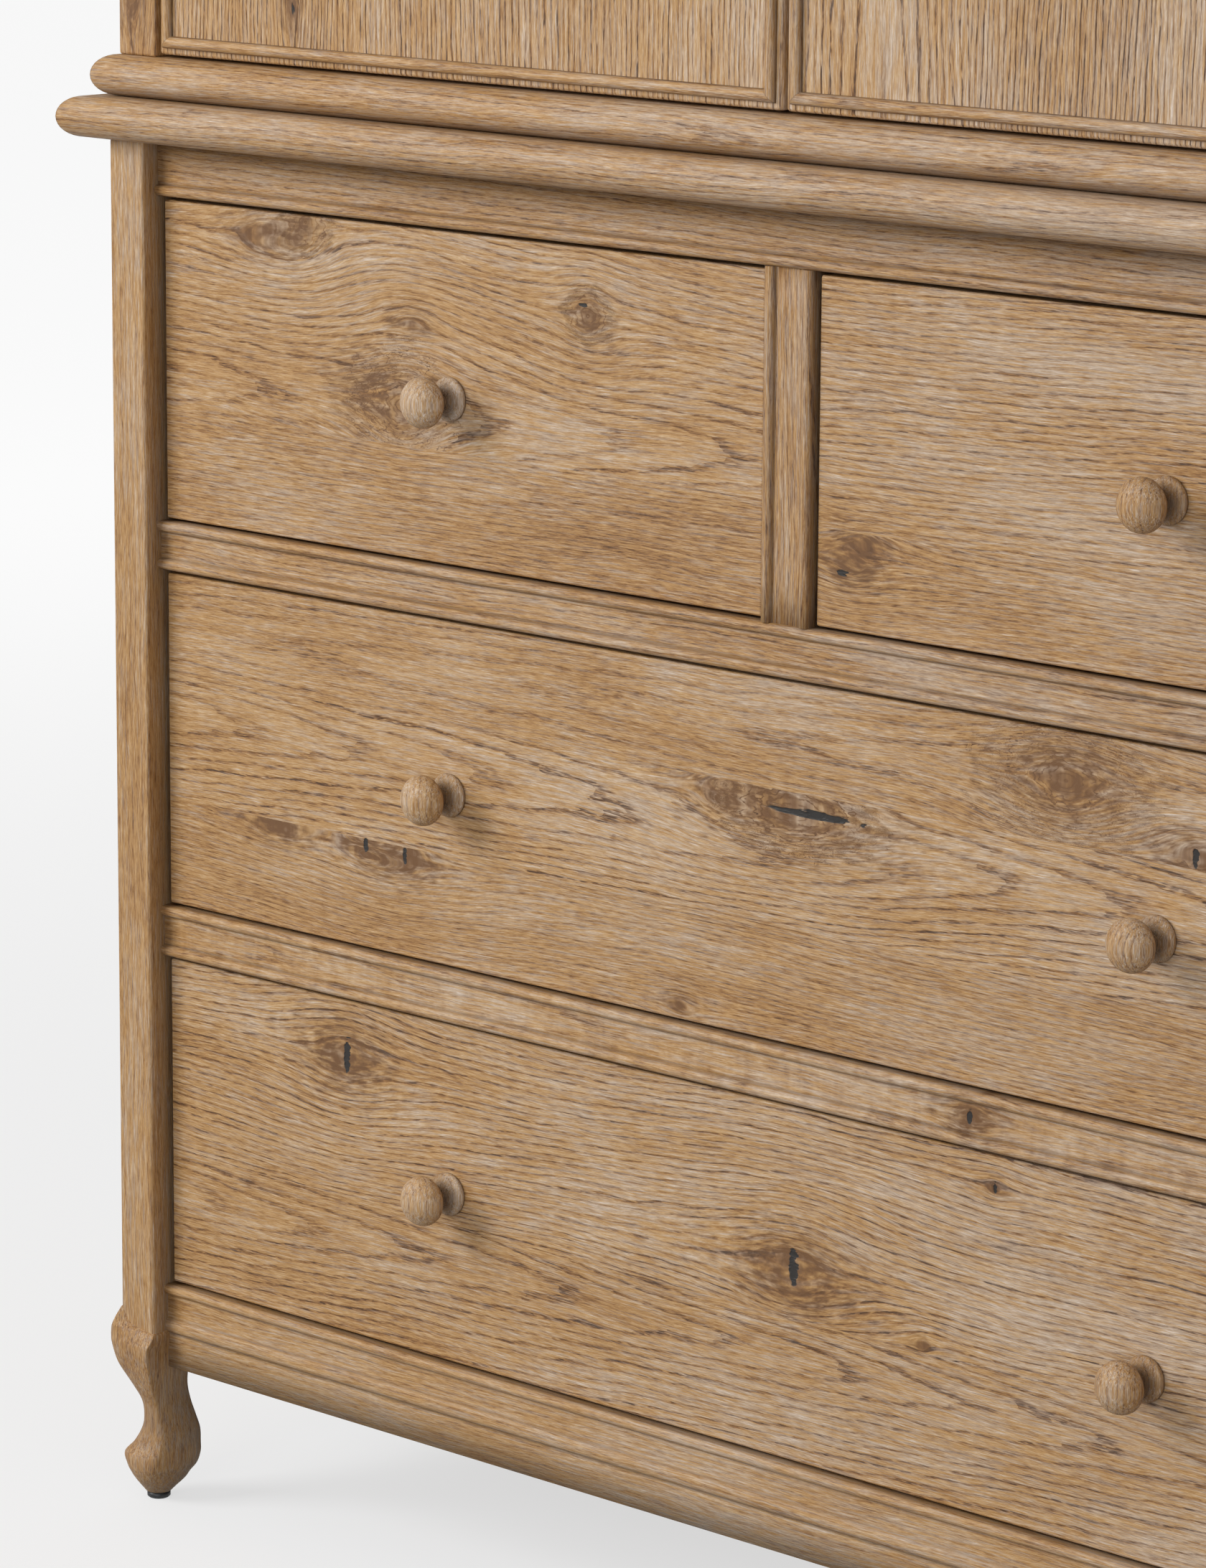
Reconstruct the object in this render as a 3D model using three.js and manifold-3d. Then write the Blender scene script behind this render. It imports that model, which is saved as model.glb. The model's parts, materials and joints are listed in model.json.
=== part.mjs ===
// An oak armoire: two doors over a hanging space, on a chest of four drawers that stands on carved cabriole legs.
// Millimetres, X to the right, Y to the back, Z up. The doors and drawers face -Y. The origin is on the floor,
// at the centre of the overall box.
import * as THREE from "three";
import { mergeVertices } from "three/addons/utils/BufferGeometryUtils.js";
import Module from "manifold-3d";

const wasm = await Module();
wasm.setup();

// Fits
const JOIN = 0.3; // between two pieces that are glued or rest on each other
const SIDE_REVEAL = 3; // beside a drawer front or a door
const DRAWER_REVEAL = 2.5; // above and below a drawer front
const DOOR_MEETING_GAP = 3.5;

// Lower case
const SMALL_DRAWER_WIDTH = 530;
const DIVIDER_WIDTH = 38;
const LOWER_POST = 32; // square section
const CASE_DEPTH = 545; // over the waist boards
const WAIST_OVERHANG = 25; // of the lower waist board past the lower posts
const DRAWER_RECESS = 16.5; // drawer fronts behind the lower posts' front
const REAR_POST_INSET = 6; // behind them the rear knees stay inside the waist boards' depth
const DRAWER_BOTTOM = 160; // lower edge of the bottom drawer front
const BOTTOM_DRAWER = 227; // heights of the drawer fronts
const MIDDLE_DRAWER = 226;
const TOP_DRAWER = 212.5;
const LOWER_RAIL = 35; // heights of the rails
const UPPER_RAIL = 33;
const BOTTOM_RAIL = 59.5;
const TOP_RAIL = 37.2;
const RAIL_PROUD = 2.5; // rail faces in front of the drawer fronts
const RAIL_DEPTH = 22;
const BEAD = 7.5; // width of the beads on the rails
const APRON_BEAD_BOTTOM = 25.5; // lower edge of the second bead above the bottom rail's lower edge

// Waist and cornice boards
const BOARD = 27.2; // thickness, and the width of its full bullnose
const UPPER_BOARD_OVERHANG = 8.7; // of the smaller board past the lower posts

// Upper case
const UPPER_INSET = 5; // behind the lower posts, at the front and at both sides
const UPPER_POST_WIDTH = 35;
const UPPER_POST_DEPTH = 25;
const DOOR_RECESS = 1.5;
const DOOR_THICKNESS = 20;
const DOOR_HEIGHT = 1030;
const DOOR_FLOOR_GAP = 2;
const DOOR_RAIL_DEPTH = 37.5;
const DOOR_RAIL = 41.7;

// Legs and glides
const LEG_HEIGHT = 125.7;
const GLIDE_RADIUS = 8.1;
const GLIDE_HEIGHT = 4.5;
const GLIDE_INSET = 17.4; // its centre from both outer faces of the post

// Knobs
const KNOB_LENGTH = 37.2;
const KNOB_SIDES = 18;

// Panels, drawer boxes and fittings
const PANEL = 18;
const SIDE_INSET = 5; // panel faces behind the posts' outer faces
const BACK_PANEL = 6;
const FRONT_THICKNESS = 20;
const BOX_INSET = 12; // drawer box sides inside the front's edges
const BOX_DEPTH = 435;
const BOX_WALL = 12;
const BOX_FLOOR = 6;
const BOX_FLOOR_RAISE = 10;
const RUN_GAP = 1; // between a drawer box and the panel it runs on
const GUIDE_HEIGHT = 12;
const SHELF_TOP = 1753;
const SHELF_SETBACK = 60; // its front edge behind the doors' faces
const ROD_HEIGHT = 1690;
const ROD_Y = 15;
const ROD_RADIUS = 12.5;
const ROD_SOCKET = { radius: 24, depth: 8 };
const HINGE_LENGTH = 64;
const HINGE_RADIUS = 4;
const HINGE_LIFT = 2.2; // between the door's face and the barrel
const HINGE_LEAF = 1.4;
const HINGE_FROM_END = 150; // from the door's top or bottom to the middle of a hinge
const DOOR_KNOB = { fromMiddle: 52, share: 0.46 }; // share of the door's height
const CATCH = { half: 22, depth: 15, height: 18, gap: 0.5 };
const LOWER_BACK_INSET = 16; // back panels inside the rear posts' and the upper sides' rear edges
const UPPER_BACK_INSET = 12;

// Worked out from the driving dimensions
const innerHalf = SMALL_DRAWER_WIDTH + 2 * SIDE_REVEAL + DIVIDER_WIDTH / 2;
const postOuter = innerHalf + LOWER_POST;
const boardHalf = postOuter + WAIST_OVERHANG;
const upperBoardHalf = postOuter + UPPER_BOARD_OVERHANG;
const knobReach = KNOB_LENGTH + JOIN - UPPER_INSET - DOOR_RECESS; // of the door knobs past the lower posts
const postFront = -(CASE_DEPTH + knobReach - WAIST_OVERHANG) / 2 + knobReach;
const back = postFront - WAIST_OVERHANG + CASE_DEPTH;
const boardFront = postFront - WAIST_OVERHANG;
const upperBoardFront = postFront - UPPER_BOARD_OVERHANG;
const postRear = back - REAR_POST_INSET;
const drawerFace = postFront + DRAWER_RECESS;
const railFace = drawerFace - RAIL_PROUD;
const railBack = railFace + RAIL_DEPTH;
const boxFront = drawerFace + FRONT_THICKNESS + JOIN;
const panelRear = postRear - LOWER_POST - JOIN;

const legTop = LEG_HEIGHT + JOIN;
const middleBottom = DRAWER_BOTTOM + BOTTOM_DRAWER + LOWER_RAIL + 2 * DRAWER_REVEAL;
const topBottom = middleBottom + MIDDLE_DRAWER + UPPER_RAIL + 2 * DRAWER_REVEAL;
const topRailBottom = topBottom + TOP_DRAWER + DRAWER_REVEAL;
const lowerCaseTop = topRailBottom + TOP_RAIL;
const waistTop = lowerCaseTop + 2 * (JOIN + BOARD);
const doorBottom = waistTop + DOOR_FLOOR_GAP;
const doorTop = doorBottom + DOOR_HEIGHT;
const upperCaseTop = doorTop + SIDE_REVEAL + DOOR_RAIL;
const railBottomZ = DRAWER_BOTTOM - DRAWER_REVEAL - BOTTOM_RAIL;

const upperFront = postFront + UPPER_INSET;
const upperOuter = postOuter - UPPER_INSET;
const upperInner = upperOuter - UPPER_POST_WIDTH;
const doorFace = upperFront + DOOR_RECESS;
const upperRear = postRear - UPPER_INSET;
const cavityHalf = upperOuter - PANEL - JOIN;
const doorWidth = upperInner - SIDE_REVEAL - DOOR_MEETING_GAP / 2;
const hingeX = upperInner - SIDE_REVEAL / 2;
const hingeY = doorFace - HINGE_RADIUS - HINGE_LIFT;

const oak = new THREE.MeshStandardMaterial({ color: 0xa98254, roughness: 0.65 });
const interiorOak = new THREE.MeshStandardMaterial({ color: 0xb8956a, roughness: 0.7 });
const backPly = new THREE.MeshStandardMaterial({ color: 0xa8875f, roughness: 0.75 });
const blackGlide = new THREE.MeshStandardMaterial({ color: 0x151515, roughness: 0.5 });
const agedBrass = new THREE.MeshStandardMaterial({ color: 0x6e5836, roughness: 0.4, metalness: 1 });
const catchGrey = new THREE.MeshStandardMaterial({ color: 0x3a3835, roughness: 0.5 });

// ---- Shapes ----

function block(x0, x1, y0, y1, z0, z1) {
  const geometry = new THREE.BoxGeometry(x1 - x0, y1 - y0, z1 - z0);
  return geometry.translate((x0 + x1) / 2, (y0 + y1) / 2, (z0 + z1) / 2);
}

function solidOf(geometry) {
  const bare = geometry.clone();
  bare.deleteAttribute("normal");
  bare.deleteAttribute("uv");
  const merged = mergeVertices(bare, 1e-4);
  const mesh = { numProp: 3, vertProperties: merged.attributes.position.array };
  mesh.triVerts = new Uint32Array(merged.index.array);
  return new wasm.Manifold(new wasm.Mesh(mesh));
}

function geometryOf(solid) {
  const mesh = solid.getMesh();
  const geometry = new THREE.BufferGeometry();
  geometry.setAttribute("position", new THREE.BufferAttribute(mesh.vertProperties, 3));
  geometry.setIndex(new THREE.BufferAttribute(mesh.triVerts, 1));
  return geometry;
}

const cut = (a, b) => geometryOf(solidOf(a).subtract(solidOf(b)));
const join = (a, b) => geometryOf(solidOf(a).add(solidOf(b)));

// A closed skin over rings of points, each ring the same number of points, with flat ends,
// or with its last ring joined to its first.
function loft(rings, looped = false) {
  const count = rings[0].length;
  const index = [];
  const last = looped ? rings.length : rings.length - 1;
  for (let r = 0; r < last; r++) {
    const next = (r + 1) % rings.length;
    for (let i = 0; i < count; i++) {
      const j = (i + 1) % count;
      const [a, b, c, d] = [r * count + i, r * count + j, next * count + j, next * count + i];
      index.push(a, b, c, a, c, d);
    }
  }
  if (!looped) {
    const top = (rings.length - 1) * count;
    for (let i = 1; i < count - 1; i++) index.push(0, i + 1, i, top, top + i, top + i + 1);
  }
  const geometry = new THREE.BufferGeometry();
  geometry.setAttribute("position", new THREE.Float32BufferAttribute(rings.flat(2), 3));
  geometry.setIndex(index);
  return geometry;
}

// A straight moulding: an outline of [a, b] points drawn along the X axis ("x": a is Y, b is Z)
// or along the Z axis ("z": a is X, b is Y).
function moulding(outline, axis, from, to) {
  const shape = new THREE.Shape(outline.map(([a, b]) => new THREE.Vector2(a, b)));
  const geometry = new THREE.ExtrudeGeometry(shape, { depth: to - from, bevelEnabled: false });
  geometry.translate(0, 0, from);
  if (axis === "z") return geometry;
  const turn = new THREE.Matrix4().makeBasis(
    new THREE.Vector3(0, 1, 0),
    new THREE.Vector3(0, 0, 1),
    new THREE.Vector3(1, 0, 0),
  );
  return geometry.applyMatrix4(turn);
}

// A half-round bead between two heights, as [depth, height] points from the face at depth 0.
function beadArc(low, high, steps = 6) {
  const points = [];
  for (let i = 0; i <= steps; i++) {
    const angle = (Math.PI * i) / steps;
    const middle = (low + high) / 2;
    points.push([-Math.sin(angle) * (BEAD / 2), middle - (Math.cos(angle) * (high - low)) / 2]);
  }
  return points;
}

// A rail across the front of the lower case, with half-round beads at the given heights.
function beadedRail(bottom, height, beads) {
  const front = beads.flatMap(([low, high]) => beadArc(low, high));
  if (front[0][1] > 0) front.unshift([0, 0]);
  if (front.at(-1)[1] < height) front.push([0, height]);
  const outline = [...front, [RAIL_DEPTH, height], [RAIL_DEPTH, 0]];
  const placed = outline.map(([y, z]) => [railFace + y, bottom + z]).reverse();
  return moulding(placed, "x", -innerHalf + JOIN, innerHalf - JOIN);
}

// A board whose front and both ends have a full bullnose, mitred at the corners, and whose back is flat.
function bullnoseBoard(half, front, bottom, steps = 10) {
  const radius = BOARD / 2;
  const rings = [];
  for (let i = 0; i <= steps; i++) {
    const angle = (Math.PI * i) / steps;
    const inset = radius * (1 - Math.sin(angle));
    const z = bottom + radius * (1 - Math.cos(angle));
    const x = half - inset;
    rings.push([[-x, front + inset, z], [x, front + inset, z], [x, back, z], [-x, back, z]]);
  }
  return loft(rings);
}

// ---- Lower case ----

// The leg's outline along the case's diagonal: height, then the distance inwards from the post's outer
// corner to the outer and to the inner side, then half the width across, then how round the section is.
const LEG_STATIONS = [
  { z: 0, outer: 14, inner: 34.5, across: 9.5, round: 2 },
  { z: 9, outer: 9, inner: 42, across: 15.5, round: 1.9 },
  { z: 17, outer: 3.5, inner: 51, across: 20.5, round: 1.75 },
  { z: 27, outer: 1.3, inner: 53.7, across: 22, round: 1.6 },
  { z: 35, outer: 8.6, inner: 53.9, across: 20.5, round: 1.55 },
  { z: 45, outer: 13.4, inner: 53.5, across: 18, round: 1.6 },
  { z: 55, outer: 14.3, inner: 50.5, across: 16.8, round: 1.6 },
  { z: 66, outer: 12, inner: 47, across: 17, round: 1.5 },
  { z: 78, outer: 4.5, inner: 45, across: 19.5, round: 1.35 },
  { z: 92.5, outer: -3.1, inner: 45.2, across: 23, round: 1 },
  { z: 110, outer: -7, inner: 45.2, across: 25.8, round: 1 },
  { z: 120.9, outer: -4.5, inner: 45.2, across: 24.8, round: 1 },
];

function legRing({ z, outer, inner, across, round }, sideX, sideY) {
  const corner = [sideX * postOuter, sideY < 0 ? postFront : postRear];
  const centre = (outer + inner) / 2;
  const along = (inner - outer) / 2;
  const ring = [];
  const count = 16;
  for (let i = 0; i < count; i++) {
    const angle = (2 * Math.PI * i) / count;
    const [c, s] = [Math.cos(angle), Math.sin(angle)];
    const u = centre + along * Math.sign(c) * Math.abs(c) ** (2 / round);
    const v = across * Math.sign(s) * Math.abs(s) ** (2 / round);
    const inwardX = (u + v) / Math.SQRT2;
    const inwardY = (u - v) / Math.SQRT2;
    ring.push([corner[0] - sideX * inwardX, corner[1] - sideY * inwardY, GLIDE_HEIGHT + JOIN + z]);
  }
  return sideX * sideY < 0 ? ring : ring.reverse();
}

function cabrioleLeg(sideX, sideY) {
  return loft(LEG_STATIONS.map((station) => legRing(station, sideX, sideY)));
}

function glide(sideX, sideY) {
  const geometry = new THREE.CylinderGeometry(GLIDE_RADIUS, GLIDE_RADIUS, GLIDE_HEIGHT, 20);
  geometry.rotateX(Math.PI / 2);
  const y = sideY < 0 ? postFront + GLIDE_INSET : postRear - GLIDE_INSET;
  return geometry.translate(sideX * (postOuter - GLIDE_INSET), y, GLIDE_HEIGHT / 2);
}

function lowerPost(sideX, sideY) {
  const [x0, x1] = [innerHalf, postOuter].map((x) => sideX * x).sort((a, b) => a - b);
  const y0 = sideY < 0 ? postFront : postRear - LOWER_POST;
  return block(x0, x1, y0, y0 + LOWER_POST, legTop, lowerCaseTop);
}

// A panel on one side of a case, given the distances of its two faces from the middle plane.
function sidePanel(side, outer, thickness, y0, y1, z0, z1) {
  const [x0, x1] = [outer - thickness, outer].map((x) => side * x).sort((a, b) => a - b);
  return block(x0, x1, y0, y1, z0, z1);
}

const guideHalf = innerHalf - SIDE_REVEAL - BOX_INSET + RUN_GAP; // inner edges of the outer drawer guides
const carcassHalf = postOuter - SIDE_INSET - PANEL - JOIN;

// A board that a drawer runs on, with a guide strip along each side and, under two drawers, one between them.
function runnerPanel(top, twoDrawers) {
  const [y0, y1] = [boxFront, panelRear];
  let panel = block(-carcassHalf, carcassHalf, y0, y1, top - PANEL, top);
  const strips = [
    [-carcassHalf, -guideHalf],
    [guideHalf, carcassHalf],
  ];
  const middle = DIVIDER_WIDTH / 2 + SIDE_REVEAL + BOX_INSET - RUN_GAP;
  if (twoDrawers) strips.push([-middle, middle]);
  for (const [x0, x1] of strips) panel = join(panel, block(x0, x1, y0, y1, top - 1, top + GUIDE_HEIGHT));
  return panel;
}

// The upright between the two top drawers, with a bead along each edge.
function divider() {
  const half = DIVIDER_WIDTH / 2;
  const front = [[-half, -half + BEAD], [half - BEAD, half]].flatMap(([low, high]) => beadArc(low, high));
  const outline = [...front.map(([y, x]) => [x, railFace + y]), [half, railBack], [-half, railBack]];
  return moulding(outline, "z", topBottom - DRAWER_REVEAL + JOIN, topRailBottom - JOIN);
}

// ---- Knobs ----

function knob(x, faceY, z) {
  const profile = [
    [0, 0], [14, 0], [14, 2.2], [11.6, 4.2], [8.2, 8], [7.4, 12], [8.6, 16], [13.4, 19.5],
    [15.8, 23.5], [15.8, 28], [13.2, 33], [8, 36.2], [0, KNOB_LENGTH],
  ].map(([radius, length]) => new THREE.Vector2(radius, length));
  const geometry = new THREE.LatheGeometry(profile, KNOB_SIDES);
  return geometry.rotateX(Math.PI).translate(x, faceY - JOIN, z);
}

// ---- Drawers ----

function drawerBox(x0, x1, bottom, height) {
  const y1 = boxFront + BOX_DEPTH;
  const [top, floorTop] = [bottom + height, bottom + BOX_FLOOR_RAISE + BOX_FLOOR];
  const inner = [x0 + BOX_WALL, x1 - BOX_WALL, boxFront + BOX_WALL, y1 - BOX_WALL];
  const hollowed = cut(block(x0, x1, boxFront, y1, bottom, top), block(...inner, floorTop, top + 1));
  return cut(hollowed, block(...inner, bottom - 1, bottom + BOX_FLOOR_RAISE));
}

const smallOuter = innerHalf - SIDE_REVEAL;
const smallInner = DIVIDER_WIDTH / 2 + SIDE_REVEAL;
const knobColumn = (smallOuter + smallInner) / 2;
const DRAWERS = [
  { name: "top_left_drawer", x0: -smallOuter, x1: -smallInner, z: topBottom, height: TOP_DRAWER, box: 170 },
  { name: "top_right_drawer", x0: smallInner, x1: smallOuter, z: topBottom, height: TOP_DRAWER, box: 170 },
  { name: "middle_drawer", x0: -smallOuter, x1: smallOuter, z: middleBottom, height: MIDDLE_DRAWER, box: 180 },
  { name: "bottom_drawer", x0: -smallOuter, x1: smallOuter, z: DRAWER_BOTTOM, height: BOTTOM_DRAWER, box: 180 },
];

// ---- Doors ----

const BEAD_FRAME = { inset: 6.5, width: 11, height: 4.5 };

function beadFrame(x0, x1) {
  const { inset, width, height } = BEAD_FRAME;
  const [z0, z1] = [doorBottom + inset, doorTop - inset];
  const rings = [];
  const steps = 6;
  for (let i = 0; i <= steps; i++) {
    const angle = (Math.PI * i) / steps;
    const inward = (width / 2) * (1 - Math.cos(angle));
    const y = doorFace - JOIN - height * Math.sin(angle);
    const [a, b] = [x0 + inset + inward, x1 - inset - inward];
    const [c, d] = [z0 + inward, z1 - inward];
    rings.push([[a, y, c], [b, y, c], [b, y, d], [a, y, d]]);
  }
  return loft(rings, true);
}

// One hinge: a barrel on the door's hinge line with the leaf that is screwed to the post behind it.
function hinge(side, z) {
  const barrel = new THREE.CylinderGeometry(HINGE_RADIUS, HINGE_RADIUS, HINGE_LENGTH, 16);
  barrel.rotateX(Math.PI / 2);
  barrel.translate(side * hingeX, hingeY, z);
  const leafOuter = side * (upperInner - JOIN);
  const leafInner = leafOuter - side * HINGE_LEAF;
  const [x0, x1] = [leafInner, leafOuter].sort((a, b) => a - b);
  const leafRear = doorFace + DOOR_THICKNESS - 1;
  const leaf = block(x0, x1, hingeY, leafRear, z - HINGE_LENGTH / 2 + 1, z + HINGE_LENGTH / 2 - 1);
  return join(barrel, leaf);
}

// ---- Interior ----

function hangingRod() {
  const { radius, depth } = ROD_SOCKET;
  const end = cavityHalf - JOIN;
  const profile = [
    [0, -end], [radius, -end], [radius, -end + depth], [ROD_RADIUS, -end + depth],
    [ROD_RADIUS, end - depth], [radius, end - depth], [radius, end], [0, end],
  ].map(([r, x]) => new THREE.Vector2(r, x));
  const geometry = new THREE.LatheGeometry(profile, 20);
  return geometry.rotateZ(-Math.PI / 2).translate(0, ROD_Y, ROD_HEIGHT);
}

// ---- Assembly ----

const armoire = new THREE.Group();

function add(group, name, geometry, material) {
  const mesh = new THREE.Mesh(geometry, material);
  mesh.name = name;
  group.add(mesh);
}

function addLowerCase(group) {
  for (const [frontName, sideY] of [["front", -1], ["rear", 1]]) {
    for (const [sideName, sideX] of [["left", -1], ["right", 1]]) {
      const corner = `${frontName}_${sideName}`;
      add(group, `${corner}_post`, lowerPost(sideX, sideY), oak);
      add(group, `${corner}_leg`, cabrioleLeg(sideX, sideY), oak);
      add(group, `${corner}_glide`, glide(sideX, sideY), blackGlide);
    }
  }
  const panelFront = postFront + LOWER_POST + JOIN;
  for (const [sideName, side] of [["left", -1], ["right", 1]]) {
    const span = [panelFront, panelRear, railBottomZ, lowerCaseTop];
    add(group, `lower_${sideName}_side`, sidePanel(side, postOuter - SIDE_INSET, PANEL, ...span), oak);
  }
  const backHalf = innerHalf - JOIN;
  const backFace = postRear - LOWER_BACK_INSET;
  const lowerBack = block(-backHalf, backHalf, backFace, backFace + BACK_PANEL, railBottomZ, lowerCaseTop);
  add(group, "lower_back", lowerBack, backPly);
  const edge = (height) => [height - BEAD, height];
  const apronBead = [APRON_BEAD_BOTTOM, APRON_BEAD_BOTTOM + BEAD + 1];
  const rails = [
    ["bottom_rail", railBottomZ, BOTTOM_RAIL, [apronBead, edge(BOTTOM_RAIL)]],
    ["lower_rail", DRAWER_BOTTOM + BOTTOM_DRAWER + DRAWER_REVEAL, LOWER_RAIL, [[0, BEAD], edge(LOWER_RAIL)]],
    ["upper_rail", middleBottom + MIDDLE_DRAWER + DRAWER_REVEAL, UPPER_RAIL, [[0, BEAD], edge(UPPER_RAIL)]],
    ["top_rail", topRailBottom, TOP_RAIL, [[0, BEAD]]],
  ];
  for (const [name, bottom, height, beads] of rails) add(group, name, beadedRail(bottom, height, beads), oak);
  add(group, "drawer_divider", divider(), oak);
  add(group, "upper_runner_panel", runnerPanel(topBottom - RUN_GAP, true), interiorOak);
  add(group, "lower_runner_panel", runnerPanel(middleBottom - RUN_GAP, false), interiorOak);
  add(group, "bottom_runner_panel", runnerPanel(DRAWER_BOTTOM - RUN_GAP, false), interiorOak);
  add(group, "lower_case_top", bullnoseBoard(boardHalf, boardFront, lowerCaseTop + JOIN), oak);
}

function addUpperCase(group) {
  add(group, "upper_case_base", bullnoseBoard(upperBoardHalf, upperBoardFront, waistTop - BOARD), oak);
  const [z0, z1] = [waistTop + JOIN, upperCaseTop];
  for (const [sideName, side] of [["left", -1], ["right", 1]]) {
    const post = [upperFront, upperFront + UPPER_POST_DEPTH, z0, z1];
    add(group, `upper_${sideName}_post`, sidePanel(side, upperOuter, UPPER_POST_WIDTH, ...post), oak);
    const panel = [upperFront + UPPER_POST_DEPTH + JOIN, upperRear, z0, z1];
    add(group, `upper_${sideName}_side`, sidePanel(side, upperOuter, PANEL, ...panel), oak);
  }
  const backFace = upperRear - UPPER_BACK_INSET;
  const upperBack = block(-cavityHalf, cavityHalf, backFace, backFace + BACK_PANEL, z0, z1);
  add(group, "upper_back", upperBack, backPly);
  const railHalf = upperInner - JOIN;
  const doorRail = block(-railHalf, railHalf, upperFront, upperFront + DOOR_RAIL_DEPTH, z1 - DOOR_RAIL, z1);
  add(group, "door_rail", doorRail, oak);
  const shelfHalf = cavityHalf - JOIN;
  const shelfFront = doorFace + SHELF_SETBACK;
  const shelf = block(-shelfHalf, shelfHalf, shelfFront, backFace - JOIN, SHELF_TOP - PANEL, SHELF_TOP);
  add(group, "hat_shelf", shelf, interiorOak);
  add(group, "hanging_rod", hangingRod(), interiorOak);
  const catchFront = doorFace + DOOR_THICKNESS + CATCH.gap;
  const catchTop = z1 - DOOR_RAIL - JOIN;
  const catchSpan = [catchFront, catchFront + CATCH.depth, catchTop - CATCH.height, catchTop];
  add(group, "door_catch", block(-CATCH.half, CATCH.half, ...catchSpan), catchGrey);
  const corniceBottom = upperCaseTop + JOIN;
  add(group, "lower_cornice", bullnoseBoard(upperBoardHalf, upperBoardFront, corniceBottom), oak);
  add(group, "upper_cornice", bullnoseBoard(boardHalf, boardFront, corniceBottom + BOARD + JOIN), oak);
}

function addDrawer(group, { name, x0, x1, z, height, box }) {
  const front = block(x0, x1, drawerFace, drawerFace + FRONT_THICKNESS, z, z + height);
  add(group, `${name}_front`, front, oak);
  add(group, `${name}_box`, drawerBox(x0 + BOX_INSET, x1 - BOX_INSET, z, box), interiorOak);
  const knobs = [["left", -knobColumn], ["right", knobColumn]].filter(([, x]) => x > x0 && x < x1);
  for (const [side, x] of knobs) {
    const label = knobs.length === 1 ? `${name}_knob` : `${name}_${side}_knob`;
    add(group, label, knob(x, drawerFace, z + height / 2), oak);
  }
}

function addDoor(group, sideName, side) {
  const [x0, x1] = [DOOR_MEETING_GAP / 2, DOOR_MEETING_GAP / 2 + doorWidth]
    .map((x) => side * x)
    .sort((a, b) => a - b);
  const panel = block(x0, x1, doorFace, doorFace + DOOR_THICKNESS, doorBottom, doorTop);
  add(group, `${sideName}_door_panel`, panel, oak);
  add(group, `${sideName}_door_bead_frame`, beadFrame(x0, x1), oak);
  const knobHeight = doorBottom + DOOR_HEIGHT * DOOR_KNOB.share;
  add(group, `${sideName}_door_knob`, knob(side * DOOR_KNOB.fromMiddle, doorFace, knobHeight), oak);
  const hingeHeights = { lower: doorBottom + HINGE_FROM_END, upper: doorTop - HINGE_FROM_END };
  for (const [place, z] of Object.entries(hingeHeights)) {
    add(group, `${sideName}_door_${place}_hinge`, hinge(side, z), agedBrass);
  }
}

addLowerCase(armoire);
addUpperCase(armoire);
for (const drawer of DRAWERS) addDrawer(armoire, drawer);
addDoor(armoire, "left", -1);
addDoor(armoire, "right", 1);

export default armoire;
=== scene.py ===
"""A limed, weathered oak armoire: two doors over a chest of four drawers on carved cabriole legs.

Lengths are in millimetres until a mesh is made, and the pieces are placed by the frame's boxes.
X is to the right, Y to the back and Z up. Boards know three directions: along the grain,
across it, and through the board's depth.
"""
import json
import math
import random
from collections import namedtuple

import bmesh
import bpy
from mathutils import Matrix, Vector

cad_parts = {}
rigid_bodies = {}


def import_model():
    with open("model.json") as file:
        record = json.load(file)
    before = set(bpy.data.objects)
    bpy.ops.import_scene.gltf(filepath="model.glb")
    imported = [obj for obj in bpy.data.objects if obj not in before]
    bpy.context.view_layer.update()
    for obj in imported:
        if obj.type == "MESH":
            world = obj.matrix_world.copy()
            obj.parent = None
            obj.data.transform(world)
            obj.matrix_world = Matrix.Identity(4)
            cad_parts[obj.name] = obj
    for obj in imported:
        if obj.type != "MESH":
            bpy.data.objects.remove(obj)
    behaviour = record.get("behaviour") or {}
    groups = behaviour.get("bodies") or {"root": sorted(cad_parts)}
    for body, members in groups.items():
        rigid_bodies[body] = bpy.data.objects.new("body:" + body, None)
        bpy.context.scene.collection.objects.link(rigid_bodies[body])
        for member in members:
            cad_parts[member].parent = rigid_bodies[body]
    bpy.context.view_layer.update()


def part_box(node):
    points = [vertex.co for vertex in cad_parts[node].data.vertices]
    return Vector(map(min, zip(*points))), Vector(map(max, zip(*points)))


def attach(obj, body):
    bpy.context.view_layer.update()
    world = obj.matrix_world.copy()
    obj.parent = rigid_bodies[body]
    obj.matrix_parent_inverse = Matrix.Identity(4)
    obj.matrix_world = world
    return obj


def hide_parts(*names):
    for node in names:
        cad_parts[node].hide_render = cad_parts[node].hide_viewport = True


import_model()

MM = 0.001
FRONT, SIDE, TOP = "front", "side", "top"
SIDES = (("left", -1), ("right", 1))

# ---- The photograph's viewpoint ----

CAMERA_AT = (2335.1, -2913.1, 1333.3)
CAMERA_YAW = math.radians(42.815)
CAMERA_PITCH = math.radians(11.8255)
CAMERA_ROLL = math.radians(0.3731)
CAMERA_LENS = 136.547
CAMERA_SENSOR = 36.0

# ---- Finish colours, linear ----

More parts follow.
